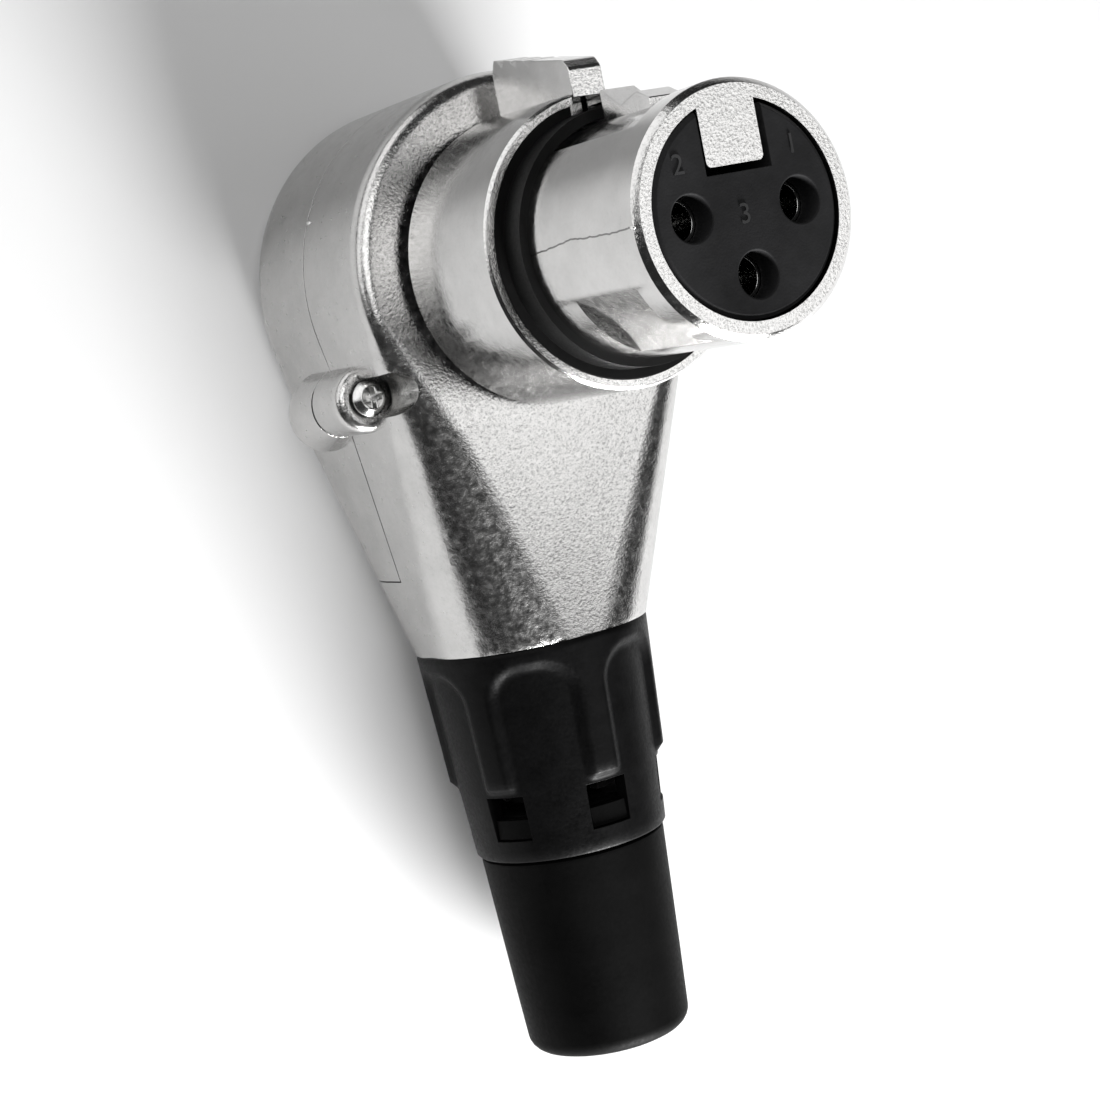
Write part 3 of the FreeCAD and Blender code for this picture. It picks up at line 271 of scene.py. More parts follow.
class Finish:
    """A material with one Principled shader and a chain of bumps in front of its normal."""

    def __init__(self, name):
        self.material = bpy.data.materials.new(name)
        self.material.use_nodes = True
        self.nodes = self.material.node_tree.nodes
        self.links = self.material.node_tree.links
        self.shader = self.nodes["Principled BSDF"]
        self.place = self.nodes.new("ShaderNodeTexCoord").outputs["Object"]
        self.normal = None

    def set(self, **values):
        """Sets sockets of the shader; an underscore in a name stands for a space."""
        for name, value in values.items():
            self.shader.inputs[name.replace("_", " ")].default_value = value

    def drive(self, socket, value):
        """Links a value or a colour to a socket of the shader."""
        self.links.new(value, self.shader.inputs[socket])

    def attribute(self, name):
        """A value that is kept on the mesh."""
        node = self.nodes.new("ShaderNodeAttribute")
        node.attribute_name = name
        return node.outputs["Fac"]

    def noise(self, size, detail=2.0, roughness=0.5, stretch=(1, 1, 1)):
        """Noise whose blobs are about size mm across."""
        mapping = self.nodes.new("ShaderNodeMapping")
        mapping.inputs["Scale"].default_value = stretch
        self.links.new(self.place, mapping.inputs["Vector"])
        noise = self.nodes.new("ShaderNodeTexNoise")
        noise.inputs["Scale"].default_value = 1.0 / (size * MM)
        noise.inputs["Detail"].default_value = detail
        noise.inputs["Roughness"].default_value = roughness
        self.links.new(mapping.outputs["Vector"], noise.inputs["Vector"])
        return noise.outputs["Fac"]

    def spread(self, value, low, high, start=0.3, stop=0.7):
        """Maps a value between start and stop to low and high."""
        node = self.nodes.new("ShaderNodeMapRange")
        node.inputs["From Min"].default_value = start
        node.inputs["From Max"].default_value = stop
        node.inputs["To Min"].default_value = low
        node.inputs["To Max"].default_value = high
        self.links.new(value, node.inputs["Value"])
        return node.outputs["Result"]

    def product(self, one, other):
        """Two linked values multiplied."""
        node = self.nodes.new("ShaderNodeMath")
        node.operation = "MULTIPLY"
        self.links.new(one, node.inputs[0])
        self.links.new(other, node.inputs[1])
        return node.outputs[0]

    def mix_node(self):
        """A node that mixes two colours."""
        node = self.nodes.new("ShaderNodeMix")
        node.data_type = "RGBA"
        return node

    def colours(self, value, low, high):
        """A mix from one grey or colour to another by a value."""
        node = self.mix_node()
        node.inputs[MIX_ONE].default_value = (*low, 1)
        node.inputs[MIX_OTHER].default_value = (*high, 1)
        self.links.new(value, node.inputs[MIX_SHARE])
        return node.outputs[MIX_COLOUR]

    def blend(self, share, one, other):
        """One linked colour where share is 0 and the other where it is 1."""
        node = self.mix_node()
        self.links.new(share, node.inputs[MIX_SHARE])
        self.links.new(one, node.inputs[MIX_ONE])
        self.links.new(other, node.inputs[MIX_OTHER])
        return node.outputs[MIX_COLOUR]

    def tinted(self, one, other):
        """Two linked colours multiplied."""
        node = self.mix_node()
        node.blend_type = "MULTIPLY"
        node.inputs[MIX_SHARE].default_value = 1.0
        self.links.new(one, node.inputs[MIX_ONE])
        self.links.new(other, node.inputs[MIX_OTHER])
        return node.outputs[MIX_COLOUR]

    def bump(self, height, depth):
        """Raises the surface by up to depth mm where height is 1."""
        node = self.nodes.new("ShaderNodeBump")
        node.inputs["Distance"].default_value = depth * MM
        node.inputs["Strength"].default_value = 1.0
        self.links.new(height, node.inputs["Height"])
        if self.normal is not None:
            self.links.new(self.normal, node.inputs["Normal"])
        self.normal = node.outputs["Normal"]
        self.drive("Normal", self.normal)


def shaded(tone, share):
    """A share of a colour."""
    return tuple(share * c for c in tone)


print("half of white", shaded((1.0, 1.0, 1.0), 0.5))

# %% [markdown]
# ### Nickel on a die casting
#
# The case and the barrel are zinc, cast in a steel mould, blasted and plated with satin nickel. The
# faces that look to the front keep a coarse blasted grain, a sparkle of pits a quarter of a
# millimetre across; the drawn side walls are smoother. A bump map is the way here, because real
# pits that small would take millions of faces. The share of grain is kept on the mesh as an
# attribute, worked out from which way each face looks. A second attribute marks the faces in a
# narrow gap, which hardly any light reaches, and there the colour is painted shade, nearly black.

# %% Nickel finishes
WORN, PALE, PIT_SHADE = 0.84, 1.6, 0.66
PIT_START, PIT_STOP, PATCH_DEPTH = 0.33, 0.49, 0.02
# Painted shade: the colour of faces marked as lying in a gap is multiplied down to nearly black.
OPEN_TONE, GAP_PAINTED_SHADE = (1, 1, 1), (0.012, 0.012, 0.012)


def nickel(name, front_depth, side_depth, tone, pit, gloss):
    """Satin nickel: paler where grain is 1, with pits that are deeper there and painted shade at
    their bottom.

    The depths and pit, the size of a pit, are in mm. gloss is the lowest and highest roughness.
    """
    finish = Finish(name)
    finish.set(Metallic=1.0, IOR=1.6)
    grain = finish.attribute("grain")
    pits = finish.noise(pit, 3.0, 0.62)
    patches = finish.noise(2.4, 4.0, 0.6)
    worn = finish.colours(finish.spread(patches, 0.0, 1.0), shaded(tone, WORN), tone)
    pale = shaded(tone, PALE)
    # Painted shade at the bottom of the pits: where the noise is low, the bump is lowest and the tone
    # darker.
    depth = finish.spread(pits, 1.0, 0.0, PIT_START, PIT_STOP)
    pitted = finish.colours(depth, pale, shaded(pale, PIT_SHADE))
    # Painted shade, nearly black, wherever the gap attribute is 1.
    black = finish.colours(finish.attribute("gap"), OPEN_TONE, GAP_PAINTED_SHADE)
    finish.drive("Base Color", finish.tinted(finish.blend(grain, worn, pitted), black))
    finish.drive("Roughness", finish.spread(finish.noise(0.5, 2.0), *gloss))
    finish.bump(finish.product(pits, grain), front_depth)
    finish.bump(finish.noise(0.22, 3.0, 0.6, (1.0, 1.0, 0.45)), side_depth)
    finish.bump(patches, PATCH_DEPTH)
    return finish.material


cast_nickel = nickel("cast nickel", front_depth=0.034, side_depth=0.006,
                     tone=(0.49, 0.486, 0.48), pit=0.22, gloss=(0.16, 0.28))
barrel_nickel = nickel("barrel nickel", front_depth=0.036, side_depth=0.005,
                       tone=(0.55, 0.546, 0.54), pit=0.2, gloss=(0.10, 0.20))
latch_nickel = nickel("latch nickel", front_depth=0.035, side_depth=0.004,
                      tone=(0.60, 0.595, 0.59), pit=0.2, gloss=(0.14, 0.26))
print("nickel finishes", cast_nickel.name, barrel_nickel.name, latch_nickel.name)

# %% [markdown]
# ### Springs, screws, brass and contacts
#
# These pieces are turned, drawn or stamped, so they carry fine marks across the barrel's axis. The
# same noise is squeezed along Z, which makes the marks, and it varies the gloss as well.

# %% Turned and drawn metals
MARK_SIZE, MARK_STRETCH, DULL = 0.08, (1.0, 1.0, 6.0), 0.8


def turned_metal(name, tone, low, high, depth):
    """A plain metal with fine marks from turning or drawing: roughness low to high, depth in mm."""
    finish = Finish(name)
    finish.set(Metallic=1.0)
    marks = finish.noise(MARK_SIZE, 2.0, 0.6, MARK_STRETCH)
    finish.drive("Base Color", finish.colours(finish.noise(2.0, 2.0), shaded(tone, DULL), tone))
    finish.drive("Roughness", finish.spread(marks, low, high))
    finish.bump(marks, depth)
    return finish.material


screw_steel = turned_metal("bright screw steel", (0.82, 0.82, 0.81), 0.10, 0.24, 0.004)
spring_steel = turned_metal("spring steel", (0.42, 0.43, 0.45), 0.2, 0.35, 0.004)
turned_brass = turned_metal("turned brass", (0.72, 0.58, 0.32), 0.2, 0.35, 0.005)
tinned_brass = turned_metal("tinned brass", (0.70, 0.70, 0.68), 0.25, 0.4, 0.005)
contact_plating = turned_metal("contact plating", (0.80, 0.80, 0.79), 0.05, 0.14, 0.002)
print("plain metals", 5)

# %% [markdown]
# ### Black mouldings and rubber
#
# The insert is glass-filled plastic with a fine matt grain, the collar and the ring have a satin
# moulded skin, and the boot is a soft rubber that looks almost smooth. Their gloss is weak, so the
# specular level is set low on the shader's own socket.

# %% Moulded finishes
CLOUD_DEPTH = 0.04


def moulded(name, tone, rough, grain, depth, gloss, mottle=4.0):
    """A moulded plastic or rubber: a dark body, a grain and a soft gloss.

    rough is the lowest and the highest roughness; grain, depth and mottle are sizes in mm.
    """
    finish = Finish(name)
    finish.set(IOR=1.45, Specular_IOR_Level=gloss)
    cloud = finish.noise(mottle, 4.0, 0.6)
    pale = tuple(2.0 * c + 0.001 for c in tone)
    finish.drive("Base Color", finish.colours(finish.spread(cloud, 0.0, 1.0), tone, pale))
    skin = finish.noise(grain, 2.0, 0.55)
    finish.drive("Roughness", finish.spread(skin, *rough))
    finish.bump(skin, depth)
    finish.bump(cloud, CLOUD_DEPTH)
    return finish.material


insert_plastic = moulded("insert plastic", (0.012, 0.012, 0.0125), (0.55, 0.70), 0.14, 0.012, 0.12)
# Painted sheen: the numbers' tone is a little paler than the insert's, on top of their own gloss.
number_plastic_painted_sheen = moulded("polished numbers", (0.017, 0.017, 0.0175), (0.26, 0.38), 0.14, 0.003,
                         0.32)
ring_plastic = moulded("ring plastic", (0.004, 0.004, 0.004), (0.42, 0.55), 0.2, 0.004, 0.15)
collar_plastic = moulded("collar plastic", (0.002, 0.002, 0.0021), (0.36, 0.52), 0.24, 0.010,
                         0.10, mottle=1.6)
boot_rubber = moulded("boot rubber", (0.0012, 0.0012, 0.0012), (0.50, 0.62), 0.3, 0.004, 0.06)
liner_plastic = moulded("liner plastic", (0.40, 0.39, 0.36), (0.4, 0.55), 0.2, 0.004, 0.5)
chuck_plastic = moulded("chuck plastic", (0.02, 0.02, 0.02), (0.4, 0.5), 0.2, 0.004, 0.4)
print("moulded finishes", 7)

# %% [markdown]
# ## The die castings
#
# The two case halves and the barrel keep the shape of the solids, because a casting is exactly that
# shape with its corners rounded. The copies get a narrow bevel and the two attributes that the
# nickel reads: the grain, and the narrow gaps at the side seam and round the barrel's foot, where
# the nickel paints shade into the colour.

# %% Grain and painted shade in the gaps, kept on the mesh
SIDE_GRAIN = 0.1
GROOVE_RADIUS, GROOVE_LOW, GROOVE_HIGH = 10.0, 20.0, 21.3
SEAM_BELOW, SEAM_HEIGHT = (5.0, 25.0), (11.1, 8.9)
SEAM_OFFSET, SEAM_NEAR, LEVEL = 0.05, 0.25, 0.9


def face_values(mesh, name):
    """A value of each face as a table with three columns, such as its middle in metres."""
    values = np.empty(len(mesh.polygons) * 3)
    mesh.polygons.foreach_get(name, values)
    return values.reshape(-1, 3)


def keep_on_corners(mesh, name, values):
    """Keeps one value of each face as an attribute, on every corner of that face."""
    totals = np.empty(len(mesh.polygons), int)
    mesh.polygons.foreach_get("loop_total", totals)
    kept = mesh.attributes.new(name, "FLOAT", "CORNER")
    kept.data.foreach_set("value", np.repeat(values, totals).astype(np.float32))


def give_grain(mesh, front=1.0):
    """How grainy each face is: front where it looks along +Z, little on the sides, by z z z."""
    facing = np.clip(face_values(mesh, "normal")[:, 2], 0.0, 1.0) ** 3
    keep_on_corners(mesh, "grain", SIDE_GRAIN + (front - SIDE_GRAIN) * facing)
    return mesh


def mark_painted_shade(mesh, chosen):
    """Marks faces in a narrow gap, where hardly any light comes in, to get painted shade."""
    keep_on_corners(mesh, "gap", chosen.astype(float))
    print(mesh.name, "faces in the gap", int(chosen.sum()))


def paint_groove_shade(mesh):
    """Painted shade in the barrel's foot groove: near the axis, between its low and high end."""
    x, y, z = face_values(mesh, "center").T / MM
    mark_painted_shade(mesh, (np.hypot(x, y) < GROOVE_RADIUS) & (z > GROOVE_LOW) & (z < GROOVE_HIGH))


def paint_seam_shade(mesh):
    """Painted shade on the seam's rim at the cover: level round the can, then down the neck."""
    y, z = face_values(mesh, "center").T[1:] / MM
    level = np.abs(face_values(mesh, "normal")[:, 2]) > LEVEL
    seam = np.interp(-y, SEAM_BELOW, SEAM_HEIGHT)
    mark_painted_shade(mesh, (np.abs(z - seam + SEAM_OFFSET) < SEAM_NEAR) & level)


print("grain on a side wall", SIDE_GRAIN)

# %% [markdown]
# ### The lugs at the seam
#
# Each screw lug is a round boss on the housing over a round lobe on the cover. The lobe of the
# solid is a third of a millimetre wider, which leaves a flat shelf at the seam. On the real casting
# the lobe runs in to the boss, so the points of its upper rim are moved there.

# %% Draw the lobes in
LUG_ACROSS, LUG_BELOW, LUG_RADIUS = 12.1, 7.8, 2.8
BOSS_BELOW, BOSS_RADIUS = 7.2, 2.45
RIM_HEIGHT, RIM_NEAR, HAIR = 9.8, 0.06, 0.05


def mesh_points(mesh):
    """The points of a mesh as a table in mm."""
    points = np.empty(len(mesh.vertices) * 3)
    mesh.vertices.foreach_get("co", points)
    return points.reshape(-1, 3) / MM


def move_points(mesh, points):
    """Puts a table in mm back into the mesh."""
    mesh.vertices.foreach_set("co", (points * MM).ravel())
    mesh.update()


def draw_in_lobes(mesh):
    """Draws the cover's lobes in to the bosses above them, so that no flat shelf is left.

    A point on a lobe's upper rim moves straight towards the boss's axis, until it lies on a circle
    round that axis that is a hair wider than the boss.
    """
    points = mesh_points(mesh)
    for side in (-1, 1):
        across = points[:, 0] - side * LUG_ACROSS
        from_lobe = np.hypot(across, points[:, 1] + LUG_BELOW)
        rim = (np.abs(from_lobe - LUG_RADIUS) < RIM_NEAR) & (points[:, 2] > RIM_HEIGHT)
        reach = np.hypot(across, points[:, 1] + BOSS_BELOW)
        moved = rim & (reach > BOSS_RADIUS)
        share = np.where(moved, (BOSS_RADIUS + HAIR) / np.maximum(reach, 0.1), 1.0)
        points[:, 0] = side * LUG_ACROSS + across * share
        points[:, 1] = -BOSS_BELOW + (points[:, 1] + BOSS_BELOW) * share
        print("points of the lobe's rim drawn in", int((share < 1.0).sum()))
    move_points(mesh, points)


# %% Case halves, barrel and latch
housing = dressed("front_housing", cast_nickel, 0.14)
paint_seam_shade(give_grain(housing.data))
cover = dressed("rear_cover", cast_nickel, 0.08)
draw_in_lobes(give_grain(cover.data))
barrel = dressed("barrel_shell", barrel_nickel, 0.14, segments=3)
paint_groove_shade(give_grain(barrel.data))
latch = dressed("latch_lever", latch_nickel, 0.06, "latch")
give_grain(latch.data, 0.8)

# %% [markdown]
# ### Flash of the mould
#
# Where the halves of the mould met, the casting keeps a thin ragged line along the nose and a few
# bright specks on the side seam. A texture could draw them, but they stand out of the surface and
# catch the light, so they are made: the line is a low fin carried along a path on the nose's
# cylinder, and each speck is a flattened ball.

# %% The line on the nose
LINE_RADIUS, LINE_WIDTH, LINE_RISE, LINE_PAINTED_SHADE = 7.95, 0.10, 0.03, 0.55
LINE_HEIGHTS = (34.1, 36.7, 39.2, 41.6, 44.0, 46.5)
LINE_ANGLES = (180.6, 179.3, 177.9, 178.9, 179.3, 178.9)
LINE_POINTS, LINE_STRAY, LINE_SEED = 44, 0.22, 7
LINE_END, LINE_FOOT, LINE_ROOT = 0.2, 0.02, 0.05


def fin_mesh(name, angles, heights):
    """A low ridge on the nose's cylinder.

    Each point of the path has an angle and a height. Across the path the section has four corners:
    two feet, half a width to each side and just inside the surface, a crest that rises above it,
    and a root below. At both ends of the path the crest is a fifth as high.
    """
    count = len(angles)
    at_end = np.arange(count) % (count - 1) == 0
    crest = np.where(at_end, LINE_END, 1.0)[:, None] * LINE_RISE
    foot = LINE_RADIUS - LINE_FOOT * crest
    root = np.full((count, 1), LINE_RADIUS - LINE_ROOT)
    reach = np.hstack((foot, LINE_RADIUS + crest, foot, root))
    aside = np.array([-0.5, 0.0, 0.5, 0.0]) * LINE_WIDTH / LINE_RADIUS
    turn = np.radians(angles)[:, None] + aside
    points = np.stack((reach * np.cos(turn), reach * np.sin(turn),
                       np.repeat(heights[:, None], 4, 1)), -1).reshape(-1, 3)
    faces = grid_squares(count, 4).reshape(-1, 4).tolist()
    last = 4 * (count - 1)
    ends = [[3, 2, 1, 0], [last, last + 1, last + 2, last + 3]]
    return closed_mesh(name, points, faces + ends)


def add_trim(name, mesh, material):
    """A small smooth piece that stands for no node of its own."""
    mesh.shade_smooth()
    add_piece(name, mesh, material)


chance = np.random.default_rng(LINE_SEED)
heights = np.linspace(LINE_HEIGHTS[0], LINE_HEIGHTS[-1], LINE_POINTS)
angles = np.interp(heights, LINE_HEIGHTS, LINE_ANGLES)
angles = angles + chance.normal(0.0, LINE_STRAY, LINE_POINTS)
line = fin_mesh("nose_parting_line", angles, heights)
# Painted shade: the fin's colour is taken a little over half way to nearly black, a dark hairline.
keep_on_corners(line, "gap", np.full(len(line.polygons), LINE_PAINTED_SHADE))
add_trim("nose_parting_line", line, barrel_nickel)

# %% The specks on the seam
SPECK_SIDES = 12
SPECKS = (
    ("nose_speck", (-7.86, 0.15, 46.45), (0.14, 0.16, 0.3)),
    ("seam_speck_a", (-12.20, 5.62, 11.35), (0.10, 0.16, 0.42)),
    ("seam_speck_b", (-12.56, -4.76, 10.95), (0.12, 0.14, 0.14)),
)


def speck_mesh(name, place, half):
    """A flattened ball: (a cos u sin v, b sin u sin v, c cos v) about its place, in mm."""
    count = SPECK_SIDES
    u = np.arange(count) * 2 * math.pi / count
    v = np.linspace(0.0, math.pi, count // 2 + 1)[1:-1]
    ring = np.stack((np.cos(u)[None, :] * np.sin(v)[:, None],
                     np.sin(u)[None, :] * np.sin(v)[:, None],
                     np.repeat(np.cos(v)[:, None], count, 1)), -1).reshape(-1, 3)
    points = np.vstack((ring, [[0, 0, 1], [0, 0, -1]])) * half + place
    first, beside = np.arange(count), (np.arange(count) + 1) % count
    top, foot, last_row = len(ring), len(ring) + 1, len(ring) - count
    north = np.stack((np.full(count, top), beside, first), -1)
    south = np.stack((np.full(count, foot), last_row + first, last_row + beside), -1)
    squares = grid_squares(len(v), count).reshape(-1, 4)
    return closed_mesh(name, points, squares.tolist() + north.tolist() + south.tolist())


for name, place, half in SPECKS:
    add_trim(name, speck_mesh(name, place, half), screw_steel)
print("specks", len(SPECKS))

# %% [markdown]
# ## The gland collar
#
# A moulded cone with six broad ribs. Each rib has sloped flanks, the floor between two ribs ends in
# a round arch below the collar's top band, and each rib runs out in a slant above a window. The
# radius is a cone, minus the rib height wherever the point lies inside an arch.

# %% Ribs and arches as a function of angle and length
RIBS, RIB_STEP, HALF_STEP = 6, 60.0, 30.0
PATTERN_TURN = -2.5
RIB_HALF_TURN, RIB_MIDDLE_RADIUS = 12.0, 8.3
FLANK, ARCH_TOP, ARCH_ROUND = 0.95, 28.85, 2.0
CONE_AT = (27.0, 27.25, 37.0, 37.6, 42.7, 42.87)
CREST_RADII = (8.62, 8.78, 8.22, 7.67, 7.28, 7.15)
FLOOR_RADII = (8.07, 8.23, 7.69, 7.67, 7.28, 7.15)


def pattern_angles(step, edge, margin):
    """Columns round the cable: even steps, and two more at each side edge of the six openings."""
    extra = [-edge - margin, -edge, edge, edge + margin]
    sector = np.unique(np.concatenate((np.arange(-HALF_STEP, HALF_STEP, step), extra)))
    return (PATTERN_TURN + np.arange(RIBS)[:, None] * RIB_STEP + sector[None, :]).ravel()


def from_rib(angles):
    """Degrees from the middle of the nearest rib."""
    return np.abs((angles - PATTERN_TURN + HALF_STEP) % RIB_STEP - HALF_STEP)


def outside_arch(across, along, half):
    """Distance in mm outside an arch of that half width: rounded at the top, open below."""
    side = np.maximum(np.abs(across) - (half - ARCH_ROUND), 0.0)
    top = np.maximum(ARCH_TOP + ARCH_ROUND - along, 0.0)
    return np.maximum(np.hypot(side, top) - ARCH_ROUND, 0.0)


def collar_radius(angles, distances):
    """The cone of the crests; inside an arch, and below the ribs, only the lower cone is left."""
    crest = np.interp(distances, CONE_AT, CREST_RADII)
    low = np.interp(distances, CONE_AT, FLOOR_RADII)
    per_degree = math.radians(1.0) * RIB_MIDDLE_RADIUS
    from_floor = (angles - PATTERN_TURN) % RIB_STEP - HALF_STEP
    across = (from_floor * per_degree)[None, :]
    half = (HALF_STEP - RIB_HALF_TURN) * per_degree
    rib = smooth(outside_arch(across, distances[:, None], half) / FLANK)
    return low[:, None] + (crest - low)[:, None] * rib


print("ribs", RIBS, "turned by", PATTERN_TURN, "degrees")

# %% The collar with its windows
WINDOW_HALF, WINDOW_RADIUS, WINDOW_NEAR, WINDOW_FAR = 1.6, 7.55, 37.8, 41.2
THREAD_END, THREAD_BORE, COLLAR_BORE = 35.6, 7.1, 6.45
NEARLY = 1e-6


def collar_mesh():
    """The collar: outer radius above, bore below, and an opening through both at each window."""
    edge = math.degrees(WINDOW_HALF / WINDOW_RADIUS)
    angles = pattern_angles(step=1.5, edge=edge, margin=0.4)
    distances = np.concatenate(([27.0, 27.25, 27.5], np.arange(27.9, 31.2, 0.22),
                                np.arange(31.5, 36.9, 0.6), [37.0, 37.15, 37.45, 37.6],
                                [WINDOW_NEAR, 38.5, 39.5, 40.5, WINDOW_FAR], [42.0, 42.7, 42.87]))
    outer = collar_radius(angles, distances)
    bore = np.where(distances < THREAD_END, THREAD_BORE, COLLAR_BORE)
    inner = np.repeat(bore[:, None], len(angles), 1)
    near_rib = from_rib(angles) < edge + NEARLY
    start = distances[:-1]
    along = (start > WINDOW_NEAR - NEARLY) & (start < WINDOW_FAR - NEARLY)
    gone = along[:, None] & (near_rib & np.roll(near_rib, -1))[None, :]
    return skin_mesh("gland_collar_skin", angles, np.concatenate((distances, distances[::-1])),
                     np.vstack((outer, inner[::-1])), gone)


def add_skin(name, mesh, node, material, width, corner):
    """A skin that stands for a node, shaded and rounded where it turns by more than corner."""
    shade(mesh, corner)
    piece = add_piece(name, mesh, material)
    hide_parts(node)
    round_edges(piece, width, corner)


add_skin("gland_collar_ribbed", collar_mesh(), "gland_collar", collar_plastic,
         0.07, 50.0)

# %% [markdown]
# ## The boot
#
# A soft rubber sleeve. Its head sits inside the collar and carries six small blocks that snap into
# the windows; below the collar it is a plain cone with a rounded end and the hole for the cable.

# %% The boot as a profile with six blocks on its head
BLOCK_HALF, BLOCK_RADIUS, BLOCK_TOP, BLOCK_ENDS = 1.45, 7.2, 7.24, (39.63, 41.07)
BOOT_HEAD = ((39.3, 5.9), (39.5, 6.3), (39.6, 6.37), (39.63, 6.37), (41.07, 6.37), (41.1, 6.37),
             (42.97, 6.37), (42.98, 6.7), (43.15, 6.98))
BOOT_CONE = ((43.4, 6.99), (48.0, 6.74), (53.0, 6.47), (57.31, 6.22))
BOOT_BORE = ((58.51, 3.7), (58.35, 3.4), (58.0, 3.3), (50.0, 3.3), (39.3, 3.3))
END_MIDDLE, END_RADIUS, END_ROUND = 57.31, 5.02, 1.2


def boot_mesh():
    """Radius = head, plus the height of a block inside its square; then cone, end and bore."""
    half = math.degrees(BLOCK_HALF / BLOCK_RADIUS)
    angles = pattern_angles(step=3.0, edge=half, margin=0.3)
    bend = np.radians(np.arange(15.0, 91.0, 15.0))
    end = np.stack((END_MIDDLE + END_ROUND * np.sin(bend),
                    END_RADIUS + END_ROUND * np.cos(bend)), -1)
    distances, radii = np.vstack((BOOT_HEAD, BOOT_CONE, end, BOOT_BORE)).T
    at_block = np.isin(np.round(distances, 2), BLOCK_ENDS)
    block = (from_rib(angles) < half + NEARLY)[None, :] & at_block[:, None]
    return skin_mesh("boot_skin", angles, distances, np.where(block, BLOCK_TOP, radii[:, None]))


add_skin("cable_boot_moulded", boot_mesh(), "cable_boot", boot_rubber, 0.08, 45.0)

# %% [markdown]
# ## The insert and its numbers
#
# The insert is a moulding that just fills the nose. Each socket has its number beside it, raised in
# the mould by a few hundredths of a millimetre, so the face is set back by that much and the
# numbers stand to the level of the nose. Engraved strokes come out of the mould smoother than the
# blasted face round them, so the numbers have a brighter gloss of their own, and their colour is a
# little paler than the insert's, a painted sheen.

# %% Insert with raised numbers
FACE_HEIGHT, FACE_DROP, FACE_NEAR = 47.0, 0.07, 0.01
NUMBER_SIZE = 1.75
NUMBERS = (("1", 4.05, 3.35), ("2", -4.3, 3.2), ("3", -0.2, -0.3))


def number_mesh(word, across, up):
    """A numeral as a mesh that stands on the face, its middle at (across, up)."""
    curve = bpy.data.curves.new("number_" + word, "FONT")
    curve.body = word
    curve.size = NUMBER_SIZE * MM
    curve.extrude = FACE_DROP * MM
    curve.align_x, curve.align_y = "CENTER", "CENTER"
    holder = bpy.data.objects.new("number_" + word, curve)
    bpy.context.scene.collection.objects.link(holder)
    bpy.context.view_layer.update()
    mesh = bpy.data.meshes.new_from_object(holder)
    bpy.data.objects.remove(holder)
    place = Vector((across, up, FACE_HEIGHT - FACE_DROP)) * MM
    mesh.transform(Matrix.Translation(place))
    return mesh


insert = dressed("contact_insert", insert_plastic, 0.08)
points = mesh_points(insert.data)
points[:, 2] -= np.where(points[:, 2] > FACE_HEIGHT - FACE_NEAR, FACE_DROP, 0.0)
move_points(insert.data, points)
for word, across, up in NUMBERS:
    add_piece("socket_number_" + word, number_mesh(word, across, up),
              number_plastic_painted_sheen)
print("numbers", len(NUMBERS))

# %% [markdown]
# ## Small pieces
#
# Screws, ring, contacts and the pieces inside keep the solids' shapes and get rounded edges too.

# %% Finish the remaining nodes
for node, slot, material, width in (
    ("cover_screw_left", "screw_steel", screw_steel, 0.06),
    ("cover_screw_right", "screw_steel", screw_steel, 0.06),
    ("barrel_nut", "turned_brass", turned_brass, 0.08),
    ("ground_tag", "tinned_brass", tinned_brass, 0.05),
    ("shoulder_ring", "ring_plastic", ring_plastic, 0.1),
    ("insert_circlip", "spring_steel", spring_steel, 0.05),
    ("contact_1", "contact_plating", contact_plating, 0.04),
    ("contact_2", "contact_plating", contact_plating, 0.04),
    ("contact_3", "contact_plating", contact_plating, 0.04),
    ("latch_pin", "spring_steel", spring_steel, 0.05),
    ("insulating_liner", "liner_plastic", liner_plastic, 0.08),
    ("cable_chuck", "chuck_plastic", chuck_plastic, 0.08),
):
    dressed(node, material, width)

# %% [markdown]
# ## The leaf spring
#
# The spring is folded under the latch and flattens when the latch is pressed. Here it is finished
# like the other pieces and gets a mesh of its own.

# %% The spring under the latch
spring = dressed("latch_spring", spring_steel, 0.03)
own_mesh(spring)

# %% [markdown]
# ## Studio
#
# Metal shows what it reflects, so the lights are placed by what each face mirrors to the camera.
# The side walls mirror the floor: the key stands low beyond the cable and lights it, and the case's
# own shadow makes the upper walls darker. The front faces mirror a soft box above them on the
# right, the band round the can mirrors a light at the upper left, and its rounded edge a low panel
# on the left. The world between the lights is nearly black, which gives the dark bands along the
# rounded corners.

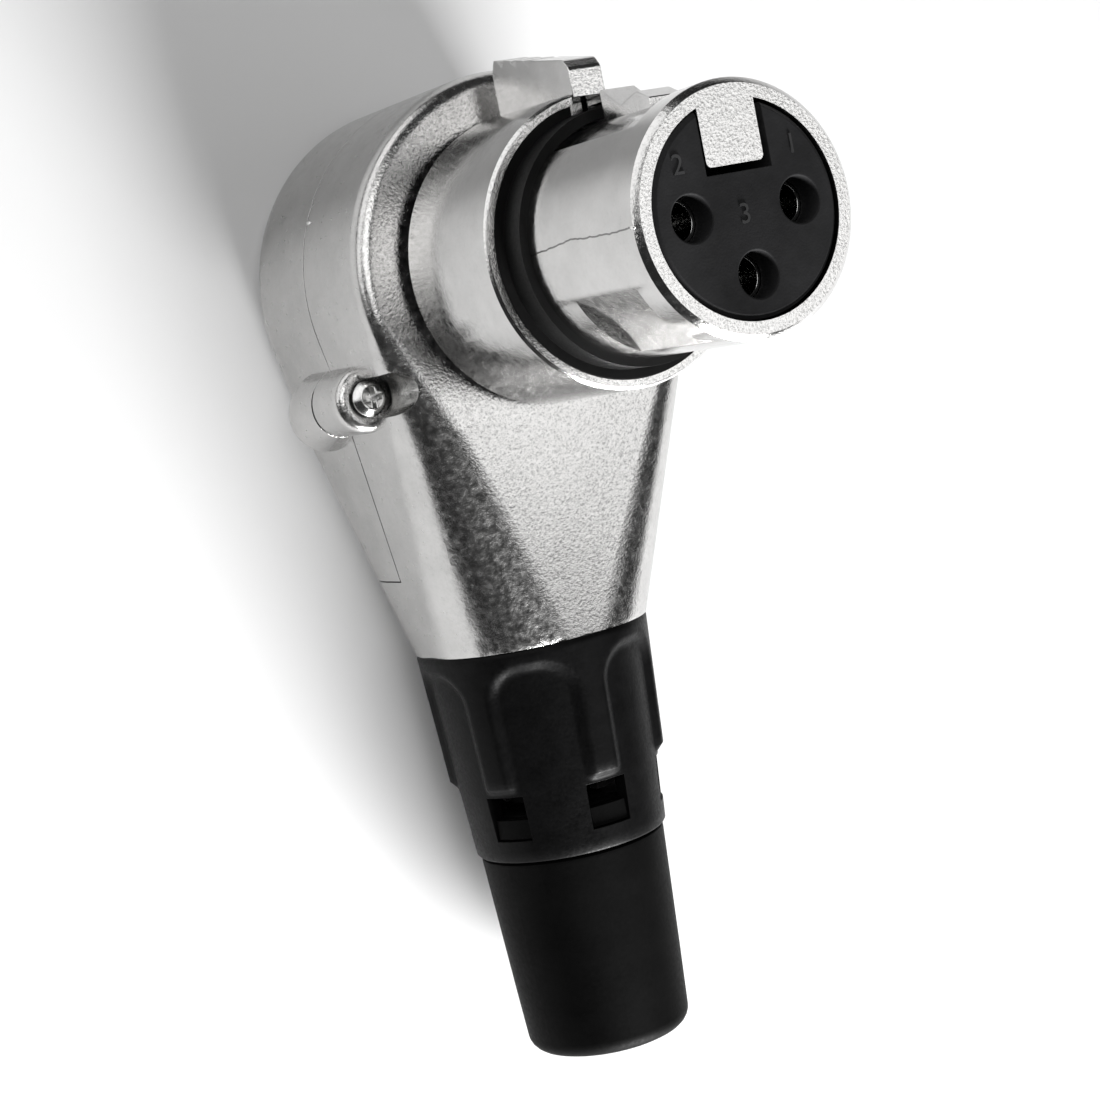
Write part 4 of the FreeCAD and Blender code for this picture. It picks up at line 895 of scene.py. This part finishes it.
# %% Floor, lights and world
FLOOR_HALF = 3.0
WORLD_GREY, WORLD_STRENGTH = 0.9, 0.03
LIGHTS = (
    ("key", (95, -446, 136), (0, -10, 10), (210, 110), 6.4),
    ("soft box", (192, -52, 388), (0, 0, 25), (300, 270), 0.29),
    ("top left", (-165, 100, 370), (0, 0, 20), (260, 260), 0.36),
    ("left panel", (-204, 190, 123), (0, 0, 15), (540, 160), 0.36),
)


def add_floor():
    """A pale matt floor under the connector, three metres to each side."""
    mesh = bpy.data.meshes.new("floor")
    corners = [(x * FLOOR_HALF, y * FLOOR_HALF, 0) for x, y in ((-1, -1), (1, -1), (1, 1), (-1, 1))]
    mesh.from_pydata(corners, [], [(0, 1, 2, 3)])
    floor = bpy.data.objects.new("floor", mesh)
    bpy.context.scene.collection.objects.link(floor)
    finish = Finish("pale floor")
    finish.set(Roughness=0.85)
    paper = finish.noise(8.0, 3.0)
    finish.drive("Base Color", finish.colours(paper, (0.88, 0.88, 0.88), (0.9, 0.9, 0.9)))
    mesh.materials.append(finish.material)


def add_light(name, place, aim, size, power):
    """An oblong area light of that size in mm at place, in mm, turned towards aim."""
    data = bpy.data.lights.new(name, "AREA")
    data.shape = "RECTANGLE"
    data.size, data.size_y = size[0] * MM, size[1] * MM
    data.energy = power
    light = bpy.data.objects.new(name, data)
    start, end = Vector(place) * MM, Vector(aim) * MM
    turn = (end - start).to_track_quat("-Z", "Y").to_matrix().to_4x4()
    light.matrix_world = Matrix.Translation(start) @ turn
    bpy.context.scene.collection.objects.link(light)


def set_world():
    """A nearly black world, and colours shown as they are."""
    world = bpy.data.worlds.new("studio")
    world.use_nodes = True
    background = world.node_tree.nodes["Background"]
    background.inputs["Color"].default_value = (WORLD_GREY, WORLD_GREY, WORLD_GREY, 1)
    background.inputs["Strength"].default_value = WORLD_STRENGTH
    bpy.context.scene.world = world
    bpy.context.scene.view_settings.view_transform = "Standard"


add_floor()
for light in LIGHTS:
    add_light(*light)
set_world()
print("lights", len(LIGHTS))
